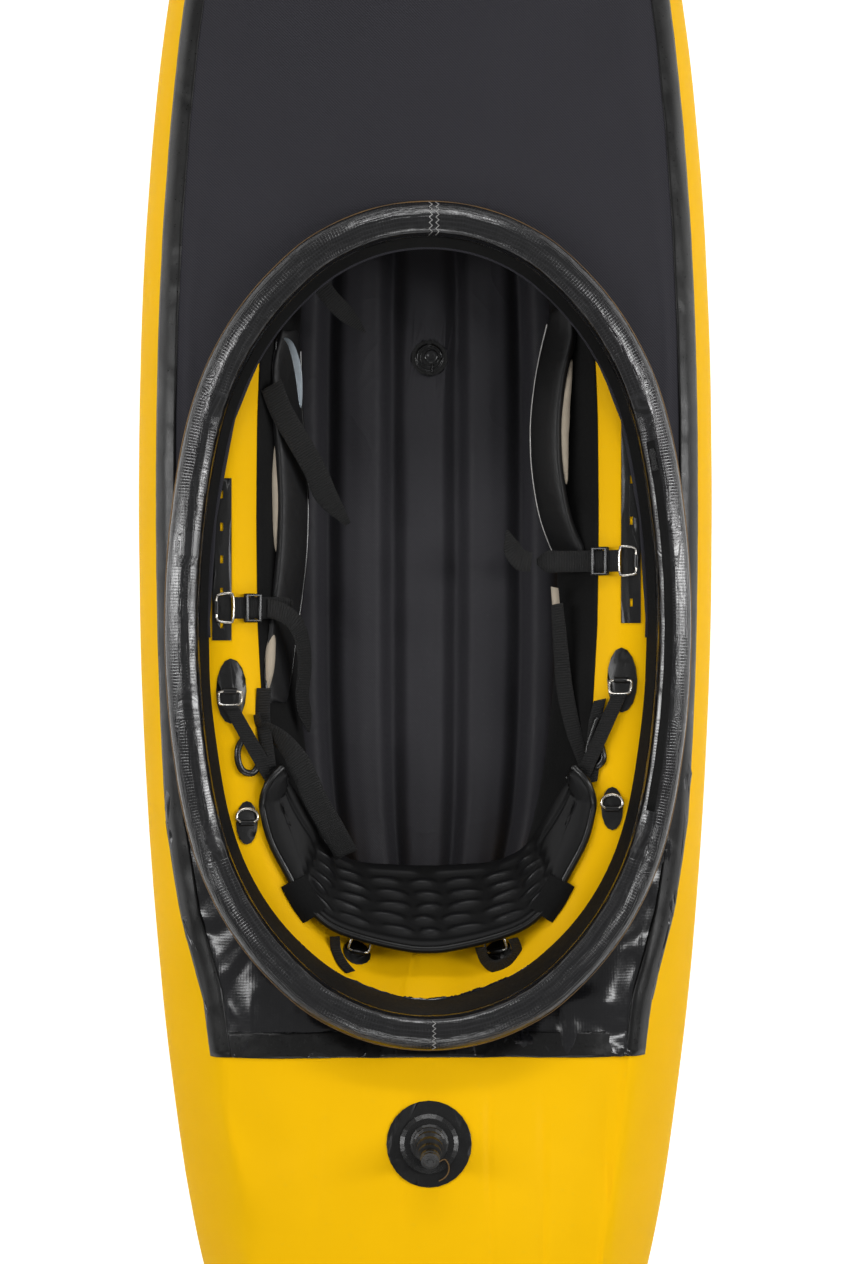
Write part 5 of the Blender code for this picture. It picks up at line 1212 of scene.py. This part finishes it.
class Band:
    """The backband's surface, between lines of its top and foot from the middle to a tip."""

    TOP = ((0.0, -0.598, 0.230), (0.033, -0.595, 0.230), (0.093, -0.581, 0.230),
           (0.1385, -0.562, 0.231), (0.172, -0.529, 0.233), (0.191, -0.497, 0.234),
           (0.219, -0.443, 0.237), (0.2304, -0.385, 0.238), (0.2255, -0.357, 0.238),
           (0.208, -0.343, 0.236))
    FOOT = ((0.0, -0.494, 0.100), (0.0475, -0.4925, 0.102), (0.093, -0.4867, 0.118),
            (0.1305, -0.4696, 0.150), (0.1478, -0.4473, 0.180), (0.1663, -0.4131, 0.205),
            (0.1796, -0.3857, 0.218), (0.1917, -0.3657, 0.226), (0.201, -0.353, 0.232),
            (0.2065, -0.345, 0.236))
    STEPS = 8
    ROWS = 44
    # Cells fill the columns within CELL_REACH of the middle, and the height from FOOT_SHARE to
    # LIP_SHARE. Four pockets lie below them and a smooth lip above.
    POCKETS = 4
    CELL_REACH = 33
    CELL_COLUMNS = 7
    CELL_ROWS = 5
    FOOT_SHARE = 0.17
    LIP_SHARE = 0.90
    CELL_HEIGHT = 0.0068
    POCKET_HEIGHT = 0.005
    LIP_HEIGHT = 0.0035
    PAD_HEIGHT = 0.004
    WING_HEIGHT = 0.013
    SEAM_DEPTH = 0.0040
    CLEARANCE = 0.010
    # The joint's axis and full range, and the room kept from the hull there
    PIVOT = Vector((0.0, -0.396, 0.224))
    TILT = Matrix.Rotation(math.radians(-30), 3, "X")
    TILTED_CLEARANCE = 0.0065
    MOST_MOVE = 0.015

    def __init__(self):
        self.top, self.foot = self.line(self.TOP), self.line(self.FOOT)
        self.last = len(self.top) - 1
        self.middle = self.last / 2

    def line(self, half):
        right = [Vector(place) for place in half]
        left = [Vector((-place.x, place.y, place.z)) for place in reversed(right[1:])]
        return spline_points(left + right, self.STEPS)

    def back(self, column, share):
        return self.clear(self.foot[column].lerp(self.top[column], share), self.CLEARANCE)

    def clear(self, place, clearance, when_tilted=TILTED_CLEARANCE):
        """The place, moved out of the hull as the band stands, and as it tilts."""
        place = Hull.clear(place, clearance)
        tilted = self.PIVOT + self.TILT @ (place - self.PIVOT)
        move = self.TILT.transposed() @ (Hull.clear(tilted, when_tilted) - tilted)
        if move.length > self.MOST_MOVE:
            move *= self.MOST_MOVE / move.length
        return place + move

    def swell(self, column, share):
        """The thickness of the padding."""
        edge = 1 - abs(2 * share - 1) ** 6
        puff = max(1 - abs(2 * share - 1) ** 2.2, 0.0) ** 0.5
        ends = smooth_step(min(column, self.last - column) / 5)
        from_middle = abs(column - self.middle)
        seam = math.exp(-(((share - 0.27) / 0.035) ** 2))
        wing = self.WING_HEIGHT * puff - self.SEAM_DEPTH * seam
        cells = self.PAD_HEIGHT * edge + self.cell(column, share)
        part = smooth_step((from_middle - self.CELL_REACH) / 6)
        return ends * (cells * (1 - part) + wing * part) + 0.001

    def cell(self, column, share):
        """The height of a cell, pocket or lip over the padding."""
        across = (column - self.middle + self.CELL_REACH) / (2 * self.CELL_REACH)
        if share < self.FOOT_SHARE:
            return self.pocket(across * self.POCKETS, share / self.FOOT_SHARE)
        if share > self.LIP_SHARE:
            return self.LIP_HEIGHT * (1 - abs((share - 0.95) / 0.05) ** 2)
        rise = (share - self.FOOT_SHARE) / (self.LIP_SHARE - self.FOOT_SHARE) * self.CELL_ROWS
        shift = 0.12 * math.sin(rise * 2.3)
        wide = (across * self.CELL_COLUMNS + shift) % 1.0 - 0.5
        tall = rise % 1.0 - 0.5
        dome = max(1 - (wide / 0.40) ** 2 - (tall / 0.34) ** 2, 0.0)
        return self.CELL_HEIGHT * dome ** 0.6

    def pocket(self, across, rise):
        wide = across % 1.0 - 0.5
        dome = max(1 - abs(wide / 0.42) ** 4 - abs((rise - 0.5) / 0.42) ** 4, 0.0)
        return self.POCKET_HEIGHT * dome ** 0.5

    def sheet(self, rows, lift):
        """A grid over the band, pushed out along its normals."""
        shape = bmesh.new()
        bmesh.ops.create_grid(shape, x_segments=self.last, y_segments=rows, size=1.0)
        crest = shape.verts.layers.float.new("crest")
        marks = {}
        for vert in shape.verts:
            column = round((vert.co.x + 1) / 2 * self.last)
            marks[vert] = (column, (vert.co.y + 1) / 2)
            vert.co = self.back(*marks[vert])
        shape.normal_update()
        if sum(upward(face) for face in shape.faces) < 0:
            bmesh.ops.reverse_faces(shape, faces=shape.faces)
        shape.normal_update()
        # The crest layer holds each cell's share of its full height. The band cover paints light on
        # the crests and shade in the valleys from it. The wings get a fixed middle value.
        for vert, (column, share) in marks.items():
            inside = abs(column - self.middle) < self.CELL_REACH
            vert[crest] = self.cell(column, share) / self.CELL_HEIGHT if inside else 0.4
        moves = {vert: vert.normal * lift(*mark) for vert, mark in marks.items()}
        for vert, move in moves.items():
            vert.co += move
        shape.normal_update()
        return shape


class RAFT_OT_backband(bpy.types.Operator):
    """Make the padded backband"""

    bl_idname = "raft.backband"
    bl_label = "Backband"

    PAD_COVER = 0.004
    SHELL_LIFT = -0.0030
    SHELL_ROWS = 10
    SHELL_COVER = 0.0015
    BINDING = 0.0056
    THREAD = 0.0007
    # Blocks that stand behind the wings, against the tubes
    BLOCK = ((0.177, -0.559, 0.200), (0.194, -0.537, 0.200), (0.209, -0.510, 0.200))
    BLOCK_RADIUS = 0.020
    BLOCK_CLEARANCE = 0.010

    def execute(self, context):
        band = Band()
        pad = piece("band_pad", band.sheet(band.ROWS, band.swell), band_cover(), body="backband",
                    nodes=["backband_pad"])
        thicken(pad, self.PAD_COVER)
        back = band.sheet(self.SHELL_ROWS, lambda column, share: self.SHELL_LIFT)
        shell = piece("band_shell", back, matte_cloth(), body="backband",
                      nodes=["backband_shell"])
        thicken(shell, self.SHELL_COVER)
        self.binding(band)
        for name, side in SIDES:
            places = [Hull.clear(Vector((side * x, y, z)), self.BLOCK_CLEARANCE)
                      for x, y, z in self.BLOCK]
            block = cord_shape(places, self.BLOCK_RADIUS, flat=0.45)
            item = piece("band_block_" + name, block, matte_cloth(), body="backband",
                         sharp=0.8)
        return {"FINISHED"}

    def binding(self, band):
        """Edge binding along the top and round both tips, with a thread along it."""
        tip = range(14, 0, -2)
        places = [band.foot[k] for k in tip] + band.top[::2]
        places += [band.foot[band.last - k] for k in reversed(tip)]
        places = [band.clear(place + UP * 0.001, self.BINDING + 0.003, self.BINDING + 0.002)
                  for place in places]
        rim = piece("band_binding", cord_shape(places, self.BINDING, 3, 12, 0.8), tape_cloth(),
                    body="backband", nodes=["backband_rim"])
        thread = [place + UP * self.BINDING * 0.74 for place in places]
        piece("band_thread", cord_shape(thread, self.THREAD, 3, 6), webbing_thread(),
              body="backband")


class RAFT_OT_thigh_pads(bpy.types.Operator):
    """Make the thigh pads with their piping, foam and film"""

    bl_idname = "raft.thigh_pads"
    bl_label = "Thigh pads"

    # The height at which a pad leans on the wall, and the room between it and the wall
    PAD_Z = 0.186
    PAD_CLEARANCE = 0.0035
    # Piping: at the outer edge, and its finish and radius at the inner edge. The right pad's inner
    # piping is a pale cord, a painted highlight along that edge.
    PIPING = 0.0016
    INNER_PIPING = {"left": (piping_gloss, 0.0022), "right": (piping_white, 0.0013)}
    FOAM_HEIGHT = 0.008
    # Places along the raft: distance from the wall, and how far the cushion moves outward and up
    PATHS = {
        "left": ((0.262, 0.010, 0.004, 0.0), (0.16, 0.020, 0.011, 0.0), (0.09, 0.029, 0.012, 0.0),
                 (0.02, 0.033, 0.0125, 0.0), (-0.05, 0.032, 0.014, 0.0), (-0.12, 0.026, 0.017, 0.0),
                 (-0.18, 0.018, 0.020, 0.006), (-0.2526, 0.010, 0.022, 0.012)),
        "right": ((0.293, 0.010, 0.0, 0.0), (0.262, 0.018, 0.004, 0.0), (0.22, 0.034, 0.008, 0.0),
                  (0.165, 0.049, 0.012, 0.0), (0.11, 0.056, 0.015, 0.0),
                  (0.055, 0.053, 0.0155, 0.0), (0.005, 0.044, 0.0155, 0.0),
                  (-0.03, 0.032, 0.0165, 0.0), (-0.064, 0.010, 0.0165, 0.0)),
    }
    # Foam: from and to along the raft, half width, and distance beyond the pad's middle
    FOAM = {"left": ((0.105, -0.045, 0.0085, 0.0145), (-0.150, -0.238, 0.0075, 0.0120)),
            "right": ((0.225, 0.050, 0.0085, 0.0165),)}
    TRIANGLE = ((0.1735, -0.094, 0.203), (0.1835, -0.096, 0.200), (0.1865, -0.125, 0.197),
                (0.1845, -0.152, 0.194), (0.1775, -0.140, 0.198))
    FILM = ((-0.2003, 0.2529, 0.207), (-0.1903, 0.2423, 0.213), (-0.1820, 0.2145, 0.214),
            (-0.1785, 0.1870, 0.211), (-0.1770, 0.1557, 0.204))

    def execute(self, context):
        for name, side in SIDES:
            shape = smoothed("thigh_pad_" + name, 3, 3)
            for vert in shape.verts:
                vert.co = self.moved(name, side, vert.co)
            pad = piece("thigh_cushion_" + name, shape, pad_cover(),
                        nodes=["thigh_pad_" + name])
            places = [self.crest(name, side, y, 0.0052, 0.0225) for y in self.steps(name)]
            piece(f"thigh_piping_{name}_outer", cord_shape(places, self.PIPING, 3, 8),
                  piping_gloss())
            finish, wide = self.INNER_PIPING[name]
            places = self.inner_edge(pad, name, side)
            piece(f"thigh_piping_{name}_inner", cord_shape(places, wide, 3, 8), finish())
            for k, (first, last, wide, beyond) in enumerate(self.FOAM[name]):
                run = [first + (last - first) * n / 8 for n in range(9)]
                places = [self.crest(name, side, y, beyond, 0.014) for y in run]
                shape = lens_shape(places, wide, self.FOAM_HEIGHT)
                item = piece(f"thigh_foam_{name}_{k + 1}", shape, foam())
        self.triangle()
        film = piece("thigh_film", lens_shape(self.FILM, 0.0052, 0.0008), clear_film())
        return {"FINISHED"}

    def inner_edge(self, pad, name, side):
        """The line of the cushion nearest to the raft's middle."""
        found = []
        for y in self.steps(name):
            near = [vert.co for vert in pad.data.vertices if abs(vert.co.y - y) < 0.007]
            found.append(min(near, key=lambda place: side * place.x + 0.25 * place.z).copy())
        last = len(found) - 1
        return [(found[max(k - 1, 0)] + found[k] * 2 + found[min(k + 1, last)]) / 4
                for k in range(last + 1)]

    def steps(self, name):
        """Places along the raft for a pad's piping."""
        first, last = self.PATHS[name][0][0], self.PATHS[name][-1][0]
        return [first + (last - first) * (0.02 + 0.96 * n / 26) for n in range(27)]

    def read(self, name, y):
        """Distance, outward and upward move at a place along the raft."""
        path = self.PATHS[name]
        y = min(max(y, path[-1][0]), path[0][0])
        for a, b in zip(path, path[1:]):
            if b[0] <= y <= a[0]:
                share = (a[0] - y) / (a[0] - b[0])
                return [p + (q - p) * share for p, q in zip(a[1:], b[1:])]

    def moved(self, name, side, place):
        _, out, rise = self.read(name, place.y)
        """A place moved with the cushion, and kept clear of the wall."""
        return Hull.clear(place + Vector((side * out, 0, rise)), self.PAD_CLEARANCE)

    def crest(self, name, side, y, beyond, rise):
        """A place by the pad's top: beyond its middle toward the wall, and above its middle."""
        distance, _, _ = self.read(name, y)
        spot, normal = Hull.wall(side, y, self.PAD_Z)
        lean = Vector((-normal.z * normal.x, 0, normal.x ** 2)).normalized()
        place = spot - Vector((side * (distance - beyond), 0, 0)) + lean * rise
        return self.moved(name, side, place)

    def triangle(self):
        """The foam corner that shows below the right pad."""
        shape = bmesh.new()
        places = [Hull.clear(Vector(place), 0.004) for place in self.TRIANGLE]
        shape.faces.new([shape.verts.new(place) for place in places])
        bmesh.ops.recalc_face_normals(shape, faces=shape.faces)
        item = piece("thigh_foam_right_corner", shape, foam())
        thicken(item, 0.003)


def is_wide(face):
    """Whether a strap's face belongs to a wide side, as against the thin rim."""
    return 2 * face.calc_area() / max(edge.calc_length() for edge in face.edges) >= STRAP_RIM


def rails(node):
    """The two long edges of a strap's one side, as lists of points that go the same way."""
    shape = keep_side(merged(node), lambda face: face.calc_area(),
                      lambda edge, face: is_wide(face))
    edges = [edge for edge in shape.edges if len(edge.link_faces) == 1]
    loop = [edges[0].verts[0]]
    last = None
    while True:
        here = loop[-1]
        ahead = [edge for edge in here.link_edges if len(edge.link_faces) == 1 and edge is not last]
        last = ahead[0]
        there = last.other_vert(here)
        if there is loop[0]:
            break
        loop.append(there)
    points = [vert.co.copy() for vert in loop]
    shape.free()
    count = len(points)
    best = None
    for turn in range(count):
        order = points[turn:] + points[:turn]
        total = sum((order[k] - order[count - 1 - k]).length for k in range(count // 2))
        if best is None or total < best[0]:
            best = (total, order)
    order = best[1]
    return order[: count // 2], [order[count - 1 - k] for k in range(count // 2)]


def spline_points(points, steps):
    """More points on a smooth line through the given ones."""
    made = []
    count = len(points)
    for k in range(count - 1):
        a = points[max(k - 1, 0)]
        b, c = points[k], points[k + 1]
        d = points[min(k + 2, count - 1)]
        for step in range(steps):
            t = step / steps
            made.append(0.5 * ((2 * b) + (c - a) * t + (2 * a - 5 * b + 4 * c - d) * t * t
                               + (3 * b - a - 3 * c + d) * t ** 3))
    made.append(points[-1].copy())
    return made


def strap(name, node, body="hull"):
    """Webbing along a CAD strap."""
    left, right = [spline_points(rail, 4) for rail in rails(node)]
    return webbing_strip(name, left, right, body, [node])


def free_strap(name, places, widths, body):
    """Webbing through places, with the vector of its width at each of them."""
    pairs = [(place, Vector(wide) / 2) for place, wide in zip(places, widths)]
    left = spline_points([place - half for place, half in pairs], 6)
    right = spline_points([place + half for place, half in pairs], 6)
    return webbing_strip(name, left, right, body)


def webbing_strip(name, left, right, body, nodes=()):
    """Webbing between two long edges, with its own map in metres."""
    shape = bmesh.new()
    run = shape.verts.layers.float.new("run")
    wide = shape.verts.layers.float.new("wide")
    ends = []
    for side, points in enumerate((left, right)):
        chain = [shape.verts.new(point) for point in points]
        reach = 0.0
        for k, vert in enumerate(chain):
            if k:
                reach += ((left[k] + right[k]) / 2 - (left[k - 1] + right[k - 1]) / 2).length
            vert[run] = reach
            vert[wide] = side * (right[k] - left[k]).length
        ends.append([shape.edges.new(pair) for pair in zip(chain, chain[1:])])
    bmesh.ops.bridge_loops(shape, edges=ends[0] + ends[1])
    across = [edge for edge in shape.edges if edge not in ends[0] and edge not in ends[1]]
    bmesh.ops.subdivide_edges(shape, edges=across, cuts=3, use_grid_fill=True)
    flat = shape.loops.layers.uv.new("UVMap")
    for face in shape.faces:
        for loop in face.loops:
            loop[flat].uv = (loop.vert[run], loop.vert[wide])
    bmesh.ops.recalc_face_normals(shape, faces=shape.faces)
    area = sum(face.calc_area() for face in shape.faces)
    item = piece(name, shape, webbing(), body=body, nodes=nodes)
    thicken(item, WEBBING_THICKNESS, 0.0)
    return item


class RAFT_OT_straps(bpy.types.Operator):
    """Thread the webbing"""

    bl_idname = "raft.straps"
    bl_label = "Webbing"

    # Free lengths: places, and the vector of the width at each of them
    FREE = {
        "lock_tail_left": (
            ((-0.2221, -0.1240, 0.2265), (-0.2012, -0.1310, 0.2290), (-0.1832, -0.1463, 0.2250),
             (-0.1737, -0.1755, 0.2110), (-0.1719, -0.2106, 0.1960), (-0.1757, -0.2458, 0.1860),
             (-0.1717, -0.2741, 0.1780), (-0.1662, -0.2983, 0.1720)),
            ((0, -0.026, 0), (-0.006, -0.025, 0), (-0.016, -0.018, 0.006), (-0.019, -0.004, 0.014),
             (-0.018, 0, 0.016), (-0.018, 0, 0.016), (-0.017, -0.002, 0.015), (-0.002, 0, 0.002))),
        "ribbed_left": (
            ((-0.2560, -0.2727, 0.2050), (-0.2440, -0.2860, 0.2180), (-0.2245, -0.2925, 0.2300),
             (-0.1992, -0.3095, 0.2400), (-0.1770, -0.3411, 0.2430), (-0.1551, -0.3901, 0.2330),
             (-0.1318, -0.4331, 0.2130), (-0.1133, -0.4700, 0.1830)),
            ((0.010, 0.004, 0.020), (0.012, 0.008, 0.020), (0.008, 0.020, 0.020),
             (0.014, 0.022, 0.016), (0.027, 0.018, 0.008), (0.030, 0.014, 0.004),
             (0.030, 0.015, 0.004), (0.030, 0.014, 0.004))),
        "bow_flap": (
            ((-0.1581, 0.3370, 0.2480), (-0.1357, 0.3063, 0.2330), (-0.1124, 0.2852, 0.2050),
             (-0.0873, 0.2651, 0.1750)),
            ((0.018, 0.016, 0), (0.018, 0.016, 0), (0.017, 0.016, 0), (0.002, 0.002, 0))),
        "ribbed_right": (
            ((0.2541, -0.2526, 0.2080), (0.2466, -0.2776, 0.2130), (0.2392, -0.3053, 0.2200),
             (0.2317, -0.3330, 0.2300), (0.2256, -0.3663, 0.2360)),
            ((0.016, 0.004, 0.008), (0.018, 0.005, 0.006), (0.019, 0.005, 0.006),
             (0.019, 0.005, 0.006), (0.018, 0.004, 0.004))),
        "pad_strap_right": (
            ((0.1810, -0.1180, 0.2080), (0.1836, -0.1476, 0.2060), (0.1866, -0.1826, 0.2030),
             (0.1924, -0.2387, 0.2030), (0.2040, -0.2945, 0.2080), (0.2162, -0.3384, 0.2240),
             (0.2207, -0.3650, 0.2360)),
            ((0.016, 0.003, 0.004), (0.018, 0.003, 0.006), (0.020, 0.002, 0.008),
             (0.022, 0.002, 0.008), (0.020, 0.005, 0.006), (0.014, 0.006, 0.004),
             (0.012, 0.004, 0.002))),
        "leaf_right": (
            ((0.1450, -0.0600, 0.2120), (0.1290, -0.0560, 0.2100), (0.1180, -0.0400, 0.2050),
             (0.1120, -0.0150, 0.1980)),
            ((-0.004, -0.026, 0), (-0.010, -0.028, 0), (-0.022, -0.012, 0.004),
             (-0.003, 0, 0.001))),
        "pad_strap_left": (
            ((-0.2270, -0.2350, 0.2300), (-0.2290, -0.2700, 0.2300), (-0.2250, -0.3050, 0.2340),
             (-0.2190, -0.3450, 0.2360)),
            ((0.020, 0, 0.004), (0.020, 0.002, 0.004), (0.019, 0.004, 0.004),
             (0.018, 0.005, 0.002))),
        "stern_loop_right": (
            ((0.0730, -0.5960, 0.2230), (0.0800, -0.6150, 0.2120), (0.0960, -0.6270, 0.2060),
             (0.1160, -0.6200, 0.2100), (0.1240, -0.6000, 0.2200), (0.1180, -0.5830, 0.2280)),
            ((0.014, 0.002, 0.008), (0.010, 0.010, 0.008), (0.002, 0.018, 0.008),
             (-0.010, 0.012, 0.008), (-0.014, 0.002, 0.008), (-0.014, -0.002, 0.006))),
        "stern_strap_left": (
            ((-0.1292, -0.5800, 0.2260), (-0.1292, -0.6000, 0.2180), (-0.1270, -0.6230, 0.2080),
             (-0.1200, -0.6420, 0.1980)),
            ((0.014, 0.001, 0.003), (0.014, 0.001, 0.003), (0.014, 0.003, 0.003),
             (0.013, 0.004, 0.003))),
    }
    # Lengths between the hull and the backband, and whether they start at the backband
    BAND_LENGTHS = {"ribbed_left": False, "ribbed_right": False, "pad_strap_right": False,
                    "pad_strap_left": False, "stern_loop_right": False, "stern_strap_left": True}
    # The left lock's loose end, which rides on the lock
    LOCK_TAIL = "lock_tail_left"
    HOOKS = {
        "left": ((-0.2590, -0.2950, 0.2080), (-0.2680, -0.3150, 0.2060),
                 (-0.2690, -0.3350, 0.2040), (-0.2640, -0.3500, 0.2030),
                 (-0.2560, -0.3540, 0.2020), (-0.2520, -0.3440, 0.2020)),
        "right": ((0.2518, -0.2779, 0.2080), (0.2440, -0.3017, 0.2080), (0.2390, -0.3228, 0.2070),
                  (0.2420, -0.3420, 0.2060), (0.2507, -0.3460, 0.2050), (0.2564, -0.3342, 0.2050),
                  (0.2548, -0.3116, 0.2060)),
    }
    HOOK_WIRE = 0.0048

    def execute(self, context):
        for name, side in SIDES:
            strap("thigh_webbing_" + name, "thigh_side_strap_" + name)
            for kind in ("side", "rear"):
                self.band_strap(kind, name)
            hook = cord_shape(self.above_hull(self.HOOKS[name]), self.HOOK_WIRE, flat=0.6)
            piece("strap_hook_" + name, hook, plastic())
        strap("thigh_tail", "thigh_strap_tail_left")
        for name, (places, widths) in self.FREE.items():
            places = self.above_hull(places)
            if name in self.BAND_LENGTHS:
                item = free_strap("webbing_" + name, places, widths, None)
                start, end = places[0], places[-1]
                if self.BAND_LENGTHS[name]:
                    start, end = end, start
                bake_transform(item)
                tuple(start)
                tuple(end)
            else:
                body = "ladder_lock_left" if name == self.LOCK_TAIL else "hull"
                free_strap("webbing_" + name, places, widths, body)
        return {"FINISHED"}

    def above_hull(self, places):
        return [Hull.clear(Vector(place), WEBBING_ABOVE_HULL) for place in places]

    def band_strap(self, kind, name):
        """Webbing along a CAD strap between the hull and the backband, riding on no body."""
        item = strap(f"band_{kind}_webbing_{name}", f"backband_{kind}_strap_{name}", None)
        points = [vert.co for vert in item.data.vertices]
        near, far = [pick(points, key=band_distance) for pick in (min, max)]
        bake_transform(item)
        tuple(far)
        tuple(near)


@once
def band_tree():
    return tree_of(merged("backband_shell"))


def band_distance(place):
    """How far a point is from the backband's shell."""
    return band_tree().find_nearest(place)[3]


class RAFT_OT_fittings(bpy.types.Operator):
    """Finish the rigid CAD fittings: rings, buckles, valves and zip slider"""

    bl_idname = "raft.fittings"
    bl_label = "Fittings"

    FINISHES = (
        (plastic, ("floor_valve_base", "floor_valve_cap", "zip_slider", "rear_valve_body")),
        (rubber, ("rear_valve_tube", "rear_valve_stopper")),
    )
    RINGS = ("hip_ring", "rear_side_ring", "stern_ring", "triangle_ring")
    RING_SWELL = 0.0006
    LOCK_ROUND = 0.0012
    # The small loop that keeps the rear valve's stopper
    TETHER = ((0.0110, -0.8720, 0.3330), (0.0200, -0.8690, 0.3260), (0.0255, -0.8770, 0.3200),
              (0.0262, -0.8870, 0.3150), (0.0215, -0.8960, 0.3130), (0.0130, -0.9010, 0.3140))
    # Zigzag seams over the rim: across, and from and to along the raft
    SEAMS = {"bow_left": (0.0015, 0.372, 0.424), "bow_right": (0.0105, 0.372, 0.424),
             "stern": (0.0060, -0.728, -0.682)}
    STITCHES = 15
    STITCH_WIDTH = 0.0022

    def execute(self, context):
        for finish, starts in self.FINISHES:
            for name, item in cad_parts.items():
                if name.startswith(starts):
                    item.data.materials.clear()
                    item.data.materials.append(finish())
        for kind in self.RINGS:
            for name, _ in SIDES:
                self.ring(f"{kind}_{name}")
        for name, _ in SIDES:
            node = "ladder_lock_" + name
            lock = piece("buckle_" + name, merged(node), plastic(), body=node, nodes=[node],
                         sharp=1.2)
            bevelled(lock, self.LOCK_ROUND)
        self.floor_valve()
        piece("valve_tether", cord_shape(self.TETHER, 0.0009, 4, 8), piping_cord())
        self.stitches()
        return {"FINISHED"}

    def ring(self, node):
        shape = smoothed(node, 1, 0)
        shape.normal_update()
        for vert in shape.verts:
            vert.co += vert.normal * self.RING_SWELL
        body = node if node.startswith("rear_side_ring") else "hull"
        piece(node + "_wire", shape, ring_metal(), body=body, nodes=[node])

    def floor_valve(self):
        """A button, two rims and a bar on the cap."""
        low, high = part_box("floor_valve_cap")
        middle = (Vector(low) + Vector(high)) / 2
        top = high[2]
        radius = (high[0] - low[0]) / 2
        for name, size, wire in (("outer", 0.86, 0.0013), ("inner", 0.62, 0.0010)):
            turns = [math.tau * k / 24 for k in range(25)]
            places = [(middle.x + radius * size * math.cos(turn),
                       middle.y + radius * size * math.sin(turn), top) for turn in turns]
            self.on_cap("rim_" + name, cord_shape(places, wire, 1, 8))
        knob = Vector((middle.x + radius * 0.12, middle.y + radius * 0.10, top))
        frames = [frame_of(knob + UP * rise, Vector((size, 0, 0)), UP, size)
                  for rise, size in ((-0.0006, 0.0098), (0.0012, 0.0098), (0.0022, 0.0085),
                                     (0.0020, 0.0062), (0.0012, 0.0040))]
        self.on_cap("button", swept(frames, 28), sharp=0.9)
        bar = [(middle.x + 0.004, middle.y - radius * (0.45 + 0.14 * k), top + 0.0012)
               for k in range(5)]
        self.on_cap("pull", cord_shape(bar, 0.0022, 2, 8))

    def on_cap(self, name, shape, sharp=None):
        piece("valve_cap_" + name, shape, rubber_gloss(), body="floor_valve_cap",
              sharp=sharp)

    def stitches(self):
        """Two zigzag seams across the rim at the bow, and one at the stern."""
        rim = bpy.data.objects["rim_sleeve"]
        shape = bmesh.new()
        shape.from_mesh(rim.data)
        tree = tree_of(shape)
        shape.free()
        for name, (x, first, last) in self.SEAMS.items():
            places = []
            for k in range(self.STITCHES):
                y = first + (last - first) * k / (self.STITCHES - 1)
                across = x + (self.STITCH_WIDTH if k % 2 else -self.STITCH_WIDTH)
                spot = tree.ray_cast(Vector((across, y, 0.6)), -UP)[0]
                if spot:
                    places.append(spot + UP * 0.0004)
            if len(places) > 2:
                piece("stitch_" + name, cord_shape(places, 0.0006, 1, 6), pale_thread())


STEPS = (RAFT_OT_stage, RAFT_OT_hull, RAFT_OT_floor, RAFT_OT_liners, RAFT_OT_decks,
         RAFT_OT_coaming, RAFT_OT_patches, RAFT_OT_backband, RAFT_OT_thigh_pads,
         RAFT_OT_straps, RAFT_OT_fittings)


class RaftSettings(bpy.types.PropertyGroup):
    hull: PointerProperty(type=HullSettings)
    deck: PointerProperty(type=DeckSettings)
    coaming: PointerProperty(type=CoamingSettings)
    floor: PointerProperty(type=FloorSettings)
    gear: PointerProperty(type=GearSettings)


class RAFT_PT_panel(bpy.types.Panel):
    """Lists the raft's pieces and their settings"""

    bl_idname = "RAFT_PT_panel"
    bl_label = "Packraft"
    bl_space_type = "VIEW_3D"
    bl_region_type = "UI"
    bl_category = "Packraft"

    def draw(self, context):
        for group in ("hull", "deck", "coaming", "floor", "gear"):
            box = self.layout.box()
            box.label(text=group.title())
            values = getattr(context.scene.packraft, group)
            for name in values.__annotations__:
                box.prop(values, name)
        for step in STEPS:
            self.layout.operator(step.bl_idname)


CLASSES = (HullSettings, DeckSettings, CoamingSettings, FloorSettings, GearSettings,
           RaftSettings) + STEPS + (RAFT_PT_panel,)


def register():
    for kind in CLASSES:
        bpy.utils.register_class(kind)
    bpy.types.Scene.packraft = PointerProperty(type=RaftSettings)


def unregister():
    del bpy.types.Scene.packraft
    for kind in reversed(CLASSES):
        bpy.utils.unregister_class(kind)


def main():
    register()
    for step in STEPS:
        call = getattr(bpy.ops.raft, step.bl_idname.split(".")[1])
        if call() != {"FINISHED"}:
            raise RuntimeError(step.bl_idname + " did not finish")
    write_size()


def plain(box):
    return [[float(part) for part in corner] for corner in box]


def write_size():
    {"cad": plain(CAD_BOX), "visual": plain(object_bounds())}


if __name__ == "__main__":
    main()
